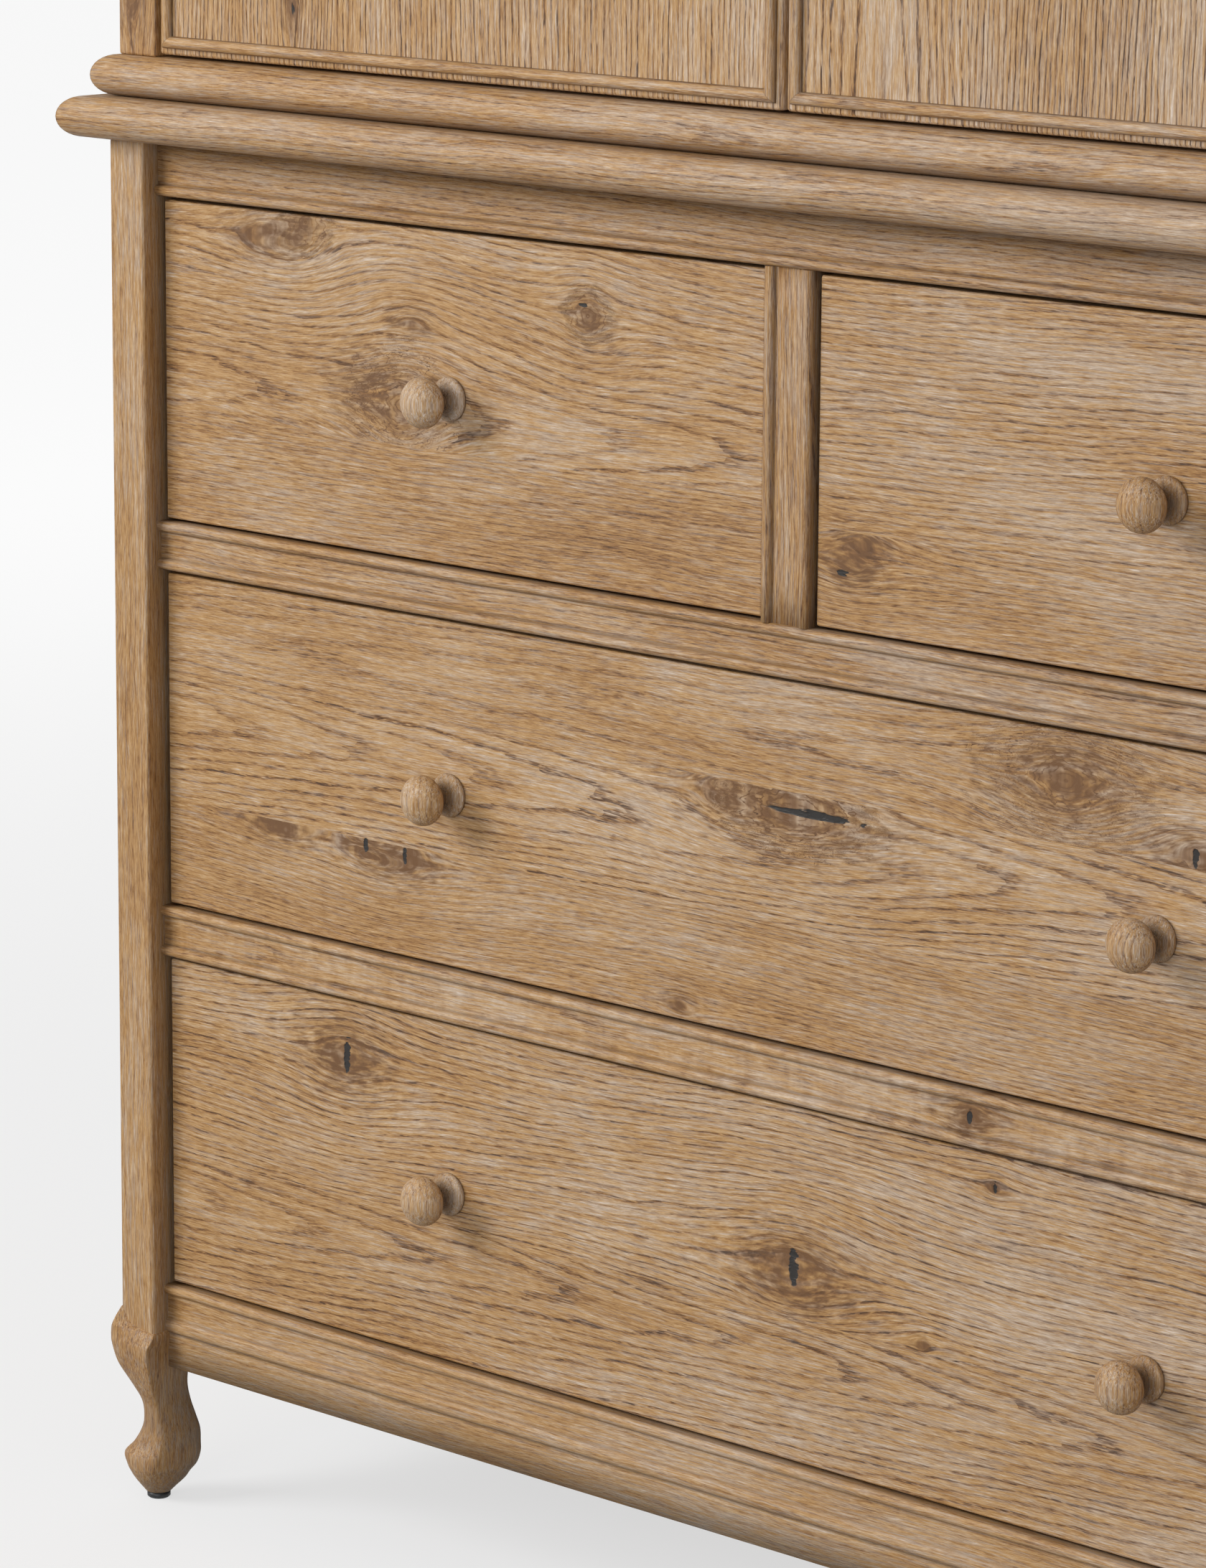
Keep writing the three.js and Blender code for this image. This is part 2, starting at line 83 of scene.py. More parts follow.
# From the darkest pores to the palest limed grain, for a golden and for a greyed patch of oak
GOLDEN = [(0.070, 0.030, 0.010), (0.185, 0.083, 0.026), (0.310, 0.155, 0.052), (0.415, 0.228, 0.082),
          (0.490, 0.290, 0.124), (0.560, 0.370, 0.195), (0.650, 0.480, 0.310)]
GREYED = [(0.080, 0.052, 0.036), (0.185, 0.122, 0.084), (0.300, 0.204, 0.140), (0.400, 0.283, 0.192),
          (0.480, 0.355, 0.252), (0.560, 0.435, 0.330), (0.660, 0.550, 0.455)]
KNOT = (0.150, 0.069, 0.024)
CRACK = (0.015, 0.012, 0.010)
# The dark brown that grooves, creases, recesses and a leg's inner side are darkened towards: grime and
# painted shade.
GRIME_AND_SHADE = (0.045, 0.026, 0.015)
SHEEN_GREY = 0.42  # painted sheen: grey standing in for a cooler, glossier light, growing this much for each metre to the right


# ---- Small helpers ----

def span(node):
    """(x0, x1, y0, y1, z0, z1) of a CAD node at rest, in millimetres."""
    low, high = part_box(node)
    return tuple(value / MM for pair in zip(low, high) for value in pair)


def lerp(a, b, t):
    return a + (b - a) * t


def new_object(name, data):
    obj = bpy.data.objects.new(name, data)
    bpy.context.scene.collection.objects.link(obj)
    return obj


# ---- Node arithmetic ----

class Field:
    """A value that varies over a surface: a node socket that takes part in ordinary arithmetic."""

    def __init__(self, tree, socket):
        self.tree = tree
        self.socket = socket

    def __rsub__(self, other):
        return calc(self.tree, "SUBTRACT", other, self)

    def clamp(self):
        return self.max(0.0).min(1.0)

    def step(self, low, high):
        """0 below low and 1 above high, turning smoothly between; falls instead where low is above high."""
        ends = (0.0, 1.0) if low < high else (1.0, 0.0)
        node = new_node(self.tree, "MapRange", self, min(low, high), max(low, high), *ends,
                        interpolation_type="SMOOTHSTEP")
        return Field(self.tree, node.outputs["Result"])


ARITHMETIC = {
    "__add__": "ADD", "__radd__": "ADD", "__sub__": "SUBTRACT", "__mul__": "MULTIPLY", "__rmul__": "MULTIPLY",
    "__truediv__": "DIVIDE", "__gt__": "GREATER_THAN", "__lt__": "LESS_THAN", "sqrt": "SQRT",
    "floor": "FLOOR", "fract": "FRACT", "max": "MAXIMUM", "min": "MINIMUM",
}


def add_arithmetic():
    """Gives Field one method for each operation. Each of them makes a math node."""
    def method(operation):
        return lambda self, *others: calc(self.tree, operation, self, *others)
    for name, operation in ARITHMETIC.items():
        setattr(Field, name, method(operation))


add_arithmetic()


def put(tree, value, socket):
    if isinstance(value, Field):
        tree.links.new(value.socket, socket)
    elif isinstance(value, tuple) and len(value) == 3 and socket.type == "RGBA":
        socket.default_value = (*value, 1.0)
    else:
        socket.default_value = value


def fill(tree, node, values):
    """Puts each value into the node's input of that name."""
    for name, value in values.items():
        put(tree, value, node.inputs[name])


def new_node(tree, kind, *values, **settings):
    """A shader node with its settings, and with values for its first inputs."""
    node = tree.nodes.new("ShaderNode" + kind)
    for name, setting in settings.items():
        setattr(node, name, setting)
    for value, socket in zip(values, node.inputs):
        put(tree, value, socket)
    return node


def calc(tree, operation, *values):
    return Field(tree, new_node(tree, "Math", *values, operation=operation).outputs[0])


def noise(tree, x, y, z, detail=2.0, roughness=0.5):
    """Smooth noise round 0.5 with a feature size of 1 in the given coordinates."""
    place = new_node(tree, "CombineXYZ", x, y, z).outputs[0]
    node = new_node(tree, "TexNoise", Field(tree, place))
    fill(tree, node, {"Scale": 1.0, "Detail": detail, "Roughness": roughness})
    return Field(tree, node.outputs["Fac"])


def white(tree, value):
    node = new_node(tree, "TexWhiteNoise", noise_dimensions="1D")
    put(tree, value, node.inputs["W"])
    return Field(tree, node.outputs["Value"])


def blend_colour(tree, factor, a, b, blend_type="MIX"):
    node = new_node(tree, "Mix", data_type="RGBA", blend_type=blend_type)
    for value, socket in zip((factor, a, b), (node.inputs[0], node.inputs[6], node.inputs[7])):
        put(tree, value, socket)
    return Field(tree, node.outputs[2])


def scale_colour(tree, colour, factor):
    grey = new_node(tree, "CombineColor", factor, factor, factor).outputs[0]
    return blend_colour(tree, 1.0, colour, Field(tree, grey), "MULTIPLY")


def point_place(tree, kind="Object"):
    """The x, y and z of a point: on an object, in metres, or of the direction to the sky."""
    place = new_node(tree, "TexCoord").outputs[kind]
    return [Field(tree, socket) for socket in new_node(tree, "SeparateXYZ", Field(tree, place)).outputs]


def new_material(name):
    """A new material, its nodes and its shader."""
    material = bpy.data.materials.new(name)
    material.use_nodes = True
    tree = material.node_tree
    return material, tree, tree.nodes["Principled BSDF"]


def add_bump(tree, shader, height, strength, distance):
    """A bump whose distance is in millimetres."""
    bump = new_node(tree, "Bump")
    fill(tree, bump, {"Strength": strength, "Distance": distance * MM, "Height": height})
    tree.links.new(bump.outputs["Normal"], shader.inputs["Normal"])


# ---- Oak ----

FINISH_INPUTS = ("Along", "Across", "Depth", "Rings", "Lines", "Figure", "Tone", "Grey", "Knot", "Crack",
                 "Dirt", "Lime", "Seed")


def tone_ramp(tree, tone, colours):
    """The colour of a tone between -3, the darkest, and 3, the palest."""
    node = new_node(tree, "ValToRGB", (tone + 3.0) / 6.0)
    ramp = node.color_ramp
    while len(ramp.elements) < len(colours):
        ramp.elements.new(0.5)
    for i, (element, colour) in enumerate(zip(ramp.elements, colours)):
        element.position = i / (len(colours) - 1)
        element.color = (*colour, 1.0)
    return Field(tree, node.outputs["Color"])


NOISE_SPREAD = (0.126, 0.094, 0.082, 0.077)  # of the noise texture, for each detail


def spread(tree, *place, detail=2):
    """Noise round 0 with a spread of one."""
    return (noise(tree, *place, detail) - 0.5) / NOISE_SPREAD[detail]


def group(name, inputs, outputs):
    """A new node group with number inputs. Gives its tree and its inputs as fields."""
    tree = bpy.data.node_groups.new(name, "ShaderNodeTree")
    for label in inputs:
        tree.interface.new_socket(label, in_out="INPUT", socket_type="NodeSocketFloat")
    for label in outputs:
        kind = "NodeSocketColor" if label == "Color" else "NodeSocketFloat"
        tree.interface.new_socket(label, in_out="OUTPUT", socket_type=kind)
    given = tree.nodes.new("NodeGroupInput")
    return tree, [Field(tree, given.outputs[label]) for label in inputs]


def give(tree, **results):
    fill(tree, tree.nodes.new("NodeGroupOutput"), results)
    return tree


def apply_group(tree, shared, **values):
    node = new_node(tree, "Group", node_tree=shared)
    fill(tree, node, values)
    return {socket.name: Field(tree, socket) for socket in node.outputs}


def oak_finish():
    """The group that turns board coordinates, ring number and marks into colour, roughness and height."""
    tree, given = group("oak_finish", FINISH_INPUTS, ("Color", "Roughness", "Height"))
    along, across, depth, rings, lines, figure, tone, grey, knot, crack, dirt, lime, seed = given

    def stroke(length, width, layer, detail=1):
        """Noise drawn out along the grain: strokes of a length and a width in millimetres."""
        return spread(tree, along / length, across / width, depth / width + seed + layer, detail=detail)

    pores = stroke(5, 0.7, 0)
    dashes = stroke(8, 1.3, 20)
    fibres = stroke(9, 0.75, 40, 2)
    streaks = stroke(60, 2.4, 80, 2)
    patches = stroke(170, 40, 120)
    hue = stroke(22, 1.2, 160, 3)
    limed = stroke(18, 0.5, 200)
    limed_area = stroke(70, 13, 240, 2)
    curls = stroke(9, 26, 320, 2)

    rings = rings + stroke(34, 7, 280, 2) * 0.07
    phase = rings.fract()
    strength = white(tree, rings.floor() + seed)
    line = phase.step(0.30, 0.14) * (0.45 + 0.55 * strength) * dashes.step(-2.2, 0.0)
    dark = line * lines * 2.15 + pores.step(0.3, 1.6) * 0.95
    late = phase.step(0.30, 0.55) * phase.step(1.0, 0.8) * lines * 0.35
    pale = (limed + limed_area * 0.3 + line * 1.0).step(1.1, 2.4) * 1.15 * lime * (1.0 - knot)
    shade = tone + fibres * 0.50 + streaks * 0.27 + patches * 0.19 + pores * 0.24 + curls * figure
    shade = shade - dark + late + pale - knot * 0.7 + 0.26
    shade = shade.min(3.0).max(-3.0)
    greyed = (0.33 + grey + hue * 0.27 + patches * 0.12 + pale * 0.42 - late * 0.1).clamp()
    colour = blend_colour(tree, greyed, tone_ramp(tree, shade, GOLDEN), tone_ramp(tree, shade, GREYED))

    brown = (knot * (0.72 + streaks * 0.14 - fibres * 0.16 - pores * 0.10 + line * 0.35)).clamp()
    colour = blend_colour(tree, brown, colour, KNOT)
    colour = blend_colour(tree, crack.step(0.15, 0.5), colour, CRACK)
    # Grooves, creases, recesses and a leg's inner side darken towards the dark brown: grime and painted
    # shade.
    grime_and_shade_mask = (dirt * (1.0 + fibres * 0.18)).clamp()
    colour = blend_colour(tree, grime_and_shade_mask * 0.9, colour, GRIME_AND_SHADE)

    height = streaks * 0.06 + fibres * 0.07 - dark * 0.30 - crack * 4.0
    roughness = 0.52 + dark * 0.07 + pale * 0.06 + patches * 0.015 + grime_and_shade_mask * 0.2
    return give(tree, Color=colour, Roughness=roughness, Height=height)


OAK_FINISH = oak_finish()


# A knot in a board: its place and size along and across the grain, how far it pushes the grain aside, its
# brown halo, its own rings, and its crack's place and half size along and across
Knot = namedtuple("Knot", "along across size stretch halo push rings crack",
                  defaults=(14, 1.7, 1.0, 1.3, 0.0, None))

# One glued plank of a board: where it starts across the grain, and where its tree's centre was, across from
# the board's edge and behind its face. climb is how fast the rings run out along the plank, spacing is the
# width of a ring, and lines is how strongly the rings show.
Plank = namedtuple("Plank", "start centre behind climb spacing tone lines",
                   defaults=(0.0, 60.0, 50.0, 0.03, 5.0, 0.0, 0.7))


def stepped(across, planks, value):
    """value(plank) of the plank that each point is in."""
    total = value(planks[0])
    for before, plank in zip(planks, planks[1:]):
        total = (across > plank.start) * (value(plank) - value(before)) + total
    return total


def board_space(tree, grain, face, corner):
    """Coordinates along, across and into a board, in millimetres from its corner, and metres to the right."""
    place = point_place(tree)
    axes = {name: value / MM - start for name, value, start in zip("xyz", place, corner)}
    depth_axis = {FRONT: "y", SIDE: "x", TOP: "z"}[face]
    across_axis = next(name for name in "xyz" if name not in (grain, depth_axis))
    return axes[grain], axes[across_axis], axes[depth_axis], place[0]


NO_CRACK = (0.0, 0.0, 0.05, 0.05)
PAST_THE_BOARD = 1e4


def in_same_plank(across, planks, place):
    """1 in the plank that holds a place across the board, and 0 in the others."""
    starts = [plank.start for plank in planks]
    low = max(start for start in starts if start <= max(place, starts[0]))
    high = min([start for start in starts if start > place] + [PAST_THE_BOARD])
    return (across > low) * (across < high)


KNOT_INPUTS = ("Along", "Across", "Here", "Size", "Stretch", "Push", "Halo", "Core", "Seed",
               "CrackAlong", "CrackAcross", "CrackHalfAlong", "CrackHalfAcross")
KNOT_OUTPUTS = ("Bend", "Brown", "Core", "Own", "Crack")


def knot_group():
    """The group that marks one knot, from a point's distance along and across from the knot."""
    tree, given = group("knot", KNOT_INPUTS, KNOT_OUTPUTS)
    (along, across, here, size, stretch, push, halo, core, seed,
     crack_along, crack_across, half_along, half_across) = given
    da = along / stretch
    far2 = da * da + across * across
    reach = size * size * push
    bend = here * across * reach / (far2 + reach * 1.08 + 1.0)
    ragged = noise(tree, along / 13, across / 5, seed, 3) - 0.5
    wisps = noise(tree, along / 26, across / 2.2, seed + 9, 2) - 0.5
    far = far2.sqrt() * (1.0 + ragged * 1.2)
    brown = (far / size + ragged * 1.2 + wisps * 1.9).step(1.85, 0.1) * here * halo
    inside = (far / (size * core + 0.01)).step(1.0, 0.72) * here * (core > 0.0)
    ca = (along - crack_along + ragged * half_along * 1.4) / half_along
    cb = (across - crack_across + ragged * half_across * 1.2 + wisps * 5.0) / half_across
    crack = (ca * ca + cb * cb + ragged * 2.4 + wisps * 1.5).step(1.3, 0.2) * (half_along > 0.1)
    brown = brown + (far / size + ragged * 0.8).step(0.9, 0.1) * here * halo * 0.35
    return give(tree, Bend=bend, Brown=brown, Core=inside, Own=inside * far, Crack=crack)


KNOT_GROUP = knot_group()


def knot_marks(tree, along, across, planks, knots):
    """What knots do: the bent across coordinate, brown halo, crack, inside mark and their own rings."""
    bent, halo, crack, inside, own = across, 0.0, 0.0, 0.0, 0.0
    for knot in knots:
        crack_along, crack_across, half_along, half_across = knot.crack or NO_CRACK
        marks = apply_group(
            tree, KNOT_GROUP, Along=along - knot.along, Across=across - knot.across,
            Here=in_same_plank(across, planks, knot.across), Size=knot.size, Stretch=knot.stretch,
            Push=knot.push, Halo=knot.halo, Core=knot.rings, Seed=knot.along + knot.across,
            CrackAlong=crack_along, CrackAcross=crack_across,
            CrackHalfAlong=half_along, CrackHalfAcross=half_across)
        bent = bent - marks["Bend"]
        halo = marks["Brown"] + halo
        crack = marks["Crack"] + crack
        inside = marks["Core"] + inside
        own = marks["Own"] + own
    if knots:
        halo, crack, inside = halo.min(1.0), crack.min(1.0), inside.min(1.0)
    return bent, halo, crack, inside, own


def oak(name, grain="x", face=FRONT, corner=(0.0, 0.0, 0.0), planks=None, knots=(), lime=1.0,
        warp=3.5, tone=0.0, grey=0.0, figure=0.0):
    """Oak for a board whose grain runs along an axis and whose face is to the front, side or top."""
    material, tree, shader = new_material(name)
    seed = random.Random(name).uniform(0.0, 900.0)
    planks = planks or [Plank()]
    along, across, depth, to_the_right = board_space(tree, grain, face, corner)
    bent, halo, crack, inside, own = knot_marks(tree, along, across, planks, knots)
    sway = (noise(tree, along / 260, across / 90, seed, 1) - 0.5) * warp * 3.2
    sway = sway + (noise(tree, along / 75, across / 24, seed + 7, 1) - 0.5) * warp * 0.8
    flowing = bent + sway
    from_centre = flowing - stepped(across, planks, lambda plank: plank.centre)
    behind = depth + stepped(across, planks, lambda plank: plank.behind)
    climb = stepped(across, planks, lambda plank: plank.climb)
    radius = (from_centre * from_centre + behind * behind).sqrt() + along * climb
    radius = radius + (noise(tree, radius / 22, seed, 0.0, 1) - 0.5) * 9.0
    if knots:
        radius = radius * (1.0 - inside) + own * 1.3
    rings = radius / stepped(across, planks, lambda plank: plank.spacing)

    # The per-point darkening mark: grime and painted shade.
    dirt = new_node(tree, "Attribute", attribute_name="dirt")
    # The grey that grows towards the right is a painted sheen.
    finish = apply_group(
        tree, OAK_FINISH, Along=along, Across=flowing, Depth=depth, Rings=rings,
        Lines=stepped(across, planks, lambda plank: plank.lines), Figure=figure,
        Tone=stepped(across, planks, lambda plank: plank.tone + tone), Grey=grey + to_the_right * SHEEN_GREY,
        Knot=halo, Crack=crack, Dirt=Field(tree, dirt.outputs["Fac"]), Lime=lime, Seed=seed)

    fill(tree, shader, {"IOR": 1.45, "Specular IOR Level": 0.42, "Base Color": finish["Color"],
                        "Roughness": finish["Roughness"]})
    add_bump(tree, shader, finish["Height"], 0.55, 0.45)
    return material


def some_planks(name, width, least=95.0, most=190.0, spacing=(3.6, 6.4), lines=0.8):
    """Planks of random widths that fill a board, the same on every run."""
    dice = random.Random("planks of " + name)
    planks, start = [], 0.0
    while start < width:
        wide = dice.uniform(least, most)
        centre = start + wide * dice.uniform(-1.2, 2.2)
        planks.append(Plank(start, centre, dice.uniform(15, 70), dice.uniform(-0.05, 0.05),
                            dice.uniform(*spacing), dice.uniform(-0.4, 0.4), lines))
        start += wide
    return planks


# ---- Other finishes ----

def plain_finish(name, colour, roughness, metallic=0.0, mottle=0.25, scale=6.0):
    """A metal or plastic whose colour and gloss vary softly."""
    material, tree, shader = new_material(name)
    x, y, z = (value / (scale * MM) for value in point_place(tree))
    blotch = noise(tree, x, y, z, 4, 0.6)
    grain = noise(tree, x * 6, y * 6, z * 6, 2)
    tint = scale_colour(tree, colour, 1.0 + (blotch - 0.5) * mottle * 2)
    rough = roughness + (blotch - 0.5) * 0.3
    fill(tree, shader, {"Metallic": metallic, "Base Color": tint, "Roughness": rough})
    add_bump(tree, shader, grain, 0.4, 0.05)
    return material


BRASS = plain_finish("aged_brass", (0.20, 0.135, 0.062), 0.42, metallic=1.0, mottle=0.6)
STEEL = plain_finish("screw_steel", (0.22, 0.21, 0.20), 0.38, metallic=1.0)
BLACK_PLASTIC = plain_finish("black_glide_plastic", (0.012, 0.012, 0.013), 0.45, scale=2.0)
CATCH_PLASTIC = plain_finish("catch_plastic_grey", (0.045, 0.042, 0.038), 0.5, scale=2.0)


# ---- Mesh building ----

def each(value, count):
    """A list of values as it is, or one value count times."""
    return list(value) if isinstance(value, (list, tuple)) else [value] * count


class Solid:
    """The points, in millimetres, and faces of one piece, with each face's finish and each point's darkening
    by grime and painted shade.
    """

    def __init__(self):
        self.points, self.dirt, self.faces, self.finishes, self.smooth = [], [], [], [], []

    def add(self, points, faces, finish=0, dirt=0.0, smooth=False):
        start = len(self.points)
        self.points += [tuple(p) for p in points]
        self.dirt += each(dirt, len(points))
        self.faces += [[start + corner for corner in face] for face in faces]
        self.finishes += each(finish, len(faces))
        self.smooth += each(smooth, len(faces))
        return self


def make(name, solid, materials, *nodes, body="case", slot="weathered_oak"):
    """Makes the object, puts it on its body and lets it stand for its CAD nodes."""
    mesh = bpy.data.meshes.new(name)
    mesh.from_pydata([[c * MM for c in p] for p in solid.points], [], solid.faces)
    for material in materials:
        mesh.materials.append(material)
    for polygon, finish, smooth in zip(mesh.polygons, solid.finishes, solid.smooth):
        polygon.material_index = finish
        polygon.use_smooth = smooth
    dirt = mesh.attributes.new("dirt", "FLOAT", "POINT")
    dirt.data.foreach_set("value", solid.dirt)
    outward = bmesh.new()
    outward.from_mesh(mesh)
    bmesh.ops.recalc_face_normals(outward, faces=outward.faces)
    outward.to_mesh(mesh)
    outward.free()
    mesh.validate()
    obj = new_object(name, mesh)
    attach(obj, body)
    if nodes:
        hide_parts(*nodes)
    return obj


def eased_box(solid, box, radius=1.5, finish=0):
    """A board with softly rounded edges and corners."""
    x0, x1, y0, y1, z0, z1 = box
    shape = bmesh.new()
    bmesh.ops.create_cube(shape, size=1.0)
    size = Vector((x1 - x0, y1 - y0, z1 - z0))
    middle = Vector((x0 + x1, y0 + y1, z0 + z1)) / 2
    for vert in shape.verts:
        vert.co = Vector(a * b for a, b in zip(vert.co, size)) + middle
    bmesh.ops.bevel(shape, geom=shape.edges[:], offset=radius, segments=3, profile=0.5, affect="EDGES")
    shape.verts.index_update()
    largest = sorted((f.calc_area() for f in shape.faces), reverse=True)[:6][-1] * 0.999
    smooth = [f.calc_area() < largest for f in shape.faces]
    solid.add([v.co for v in shape.verts], [[v.index for v in f.verts] for f in shape.faces],
              finish, smooth=smooth)
    shape.free()
    return solid


def skin(solid, rings, finish=0, dirt=None, capped=True, looped=False, smooth=True):
    """A skin over rings of points. Its darkening by grime and painted shade is one number for each ring, or a
    list for each ring.
    """
    count = len(rings[0])
    points = [p for ring in rings for p in ring]
    marks = [mark for ring_marks in dirt or each(0.0, len(rings)) for mark in each(ring_marks, count)]
    faces, finishes = [], []
    last = len(rings) if looped else len(rings) - 1
    for r in range(last):
        nxt = (r + 1) % len(rings)
        for i in range(count):
            j = (i + 1) % count
            faces.append([r * count + i, r * count + j, nxt * count + j, nxt * count + i])
        finishes += each(finish, count)
    flags = [smooth] * len(faces)
    if capped and not looped:
        faces += [list(range(count))[::-1], [(len(rings) - 1) * count + i for i in range(count)]]
        finishes += each(finishes[0], 2)
        flags += [False, False]
    return solid.add(points, faces, finishes, marks, flags)


def round_axes(axis):
    """An axis made one long, and two directions square to it."""
    direction = Vector(axis).normalized()
    helper = Vector((0, 0, 1)) if abs(direction.z) < 0.9 else Vector((1, 0, 0))
    u = direction.cross(helper).normalized()
    return direction, u, direction.cross(u)


def turned(solid, profile, axis, at, sides=40, finish=0):
    """A turned shape. profile is (radius, length, darkening by grime and painted shade) and axis the
    direction that the length goes.
    """
    direction, u, v = round_axes(axis)
    rings = []
    for radius, length, _ in profile:
        centre = Vector(at) + direction * length
        rings.append([centre + (u * math.cos(a) + v * math.sin(a)) * max(radius, 0.01)
                      for a in (2 * math.pi * i / sides for i in range(sides))])
    return skin(solid, rings, finish, [mark for _, _, mark in profile])


def smooth_profile(points, steps=5):
    """A smooth curve through (radius, length, darkening) points, by Catmull-Rom splines."""
    points = [points[0]] + list(points) + [points[-1]]
    curve = []
    for a, b, c, d in zip(points, points[1:], points[2:], points[3:]):
        for i in range(steps):
            t = i / steps
            curve.append(tuple(
                0.5 * (2 * q + (r - p) * t + (2 * p - 5 * q + 4 * r - s) * t * t
                       + (3 * q - p - 3 * r + s) * t ** 3)
                for p, q, r, s in zip(a, b, c, d)))
    curve.append(tuple(points[-1]))
    return curve


def screw(solid, at, axis, radius=3.0, finish=0):
    """A countersunk screw's head with a cross recess, its face at a point and its shank along the axis."""
    profile = [(0, 0.25, 0.6), (radius * 0.5, 0.2, 0.3), (radius * 0.9, 0, 0), (radius, 0.25, 0.2),
               (radius * 0.45, radius * 0.7, 0.5), (0, radius * 0.7, 0.5)]
    turned(solid, profile, axis, at, 20, finish)
    down, u, v = round_axes(axis)
    for a, b in ((u, v), (v, u)):
        arm, half = a * radius * 0.55, b * radius * 0.1
        corners = [Vector(at) + arm * s + half * t for s, t in ((-1, -1), (1, -1), (1, 1), (-1, 1))]
        skin(solid, [[c - down * 0.02 for c in corners], [c + down * 0.3 for c in corners]], finish,
             [1.0, 1.0], smooth=False)


def board(node, grain, face, planks, ease, body="case", slot="weathered_oak", below=0.0, **looks):
    """A plain board with eased edges in place of its CAD node, reaching a little below it if asked."""
    x0, x1, y0, y1, z0, z1 = span(node)
    material = oak(node + "_oak", grain, face, (x0, y0, z0), planks, **looks)
    solid = eased_box(Solid(), (x0, x1, y0, y1, z0 - below, z1), ease)
    make(node + "_eased", solid, [material], node, body=body, slot=slot)


def moulding(outline, low, high, steps, place):
    """A strip from low to high. Its outline is of (depth, height, darkening by grime and painted shade), and
    place puts each point.
    """
    stations = [lerp(low, high, i / steps) for i in range(steps + 1)]
    rings = [[place(along, depth, height) for depth, height, _ in outline] for along in stations]
    return skin(Solid(), rings, dirt=[[mark for _, _, mark in outline]] * len(rings))


# ---- Rails and divider ----

BEAD = 7.5
QUIRK_WIDTH = 0.8  # the groove beside a bead
QUIRK_DEPTH = 0.45
SOFT_RIDGE = 2.7  # how far the apron's ridge stands out
RIDGE_FLAT = 2.5  # the flat beside it
APRON_RIDGE = (25.0, 35.0)  # its lower and upper edge
MOULDED_DEPTH = 22.0
TUCK = 0.3  # how far a piece runs into its neighbour, so that no gap shows


def bead_line(low, high, quirk_low, quirk_high, rise=BEAD / 2):
    """A rounded bead between two heights with a groove at the asked sides, darkened in the groove and where
    the bead turns into it by grime and painted shade: (depth, height, darkening).
    """
    line = []
    middle, half = (low + high) / 2, (high - low) / 2
    shoulder = QUIRK_WIDTH + 1.6
    if quirk_low:
        line += [(0, low - shoulder, 0.0), (0, low - QUIRK_WIDTH, 0.2),
                 (QUIRK_DEPTH, low - QUIRK_WIDTH / 2, 0.5)]
    steps = 8
    for i in range(steps + 1):
        angle = math.pi * i / steps
        line.append((-math.sin(angle) * rise, middle - math.cos(angle) * half,
                     0.4 * (1 - math.sin(angle)) ** 1.5))
    if quirk_high:
        line += [(QUIRK_DEPTH, high + QUIRK_WIDTH / 2, 0.5), (0, high + QUIRK_WIDTH, 0.2),
                 (0, high + shoulder, 0.0)]
    return line


def beaded_outline(height, beads, body_depth):
    """The outline of a beaded strip, from its lower back edge round its front: (depth, height, darkening by
    grime and painted shade). Its top and bottom edges are darkened too.
    """
    line = []
    for low, high in beads:
        edge = low < 0.1 or high > height - 0.1
        if edge:
            line += bead_line(low, high, low > 0.1, high < height - 0.1)
        else:
            line.append((0, low - RIDGE_FLAT, 0.0))
            line += bead_line(low, high, False, False, SOFT_RIDGE)
            line.append((0, high + RIDGE_FLAT, 0.0))
    if beads[0][0] > 0.1:
        line.insert(0, (0, 0, 0.35))
    if beads[-1][1] < height - 0.1:
        line.append((0, height, 0.3))
    return [(body_depth, 0, 0.0)] + line + [(body_depth, height, 0.0)]


def rail(name, beads, planks=None, knots=(), tone=-0.3, figure=0.0):
    x0, x1, _, y1, z0, z1 = span(name)
    face = y1 - MOULDED_DEPTH
    solid = moulding(beaded_outline(z1 - z0, beads, MOULDED_DEPTH), x0 - TUCK, x1 + TUCK, 40,
                     lambda x, depth, height: (x, face + depth, z0 + height))
    material = oak(name + "_oak", "x", FRONT, (x0, face, z0), planks, knots, lime=0.7, tone=tone,
                   figure=figure)
    make(name + "_moulded", solid, [material], name)


def rails():
    def upper_edge(name):
        height = span(name)[5] - span(name)[4]
        return height - BEAD, height

    # The bottom rail's tone of 0.3 is painted light: it stands in for light bounced up from the floor.
    rail("bottom_rail", [APRON_RIDGE, upper_edge("bottom_rail")],
         [Plank(centre=-30, behind=40, spacing=4.5, climb=0.01, lines=0.45)], tone=0.3)
    rail("lower_rail", [(0, BEAD), upper_edge("lower_rail")],
         [Plank(centre=17, behind=9, spacing=7.5, climb=0.05, tone=0.5)],
         [Knot(706, 18, 11, 2.0, 0.9, crack=(0, 0, 2.2, 4.5))], figure=0.22)
    rail("upper_rail", [(0, BEAD), upper_edge("upper_rail")],
         [Plank(centre=60, behind=25, spacing=4.4, climb=0.012, tone=0.05)])
    rail("top_rail", [(0, BEAD)], [Plank(centre=-25, behind=22, spacing=4.8, climb=0.02)])


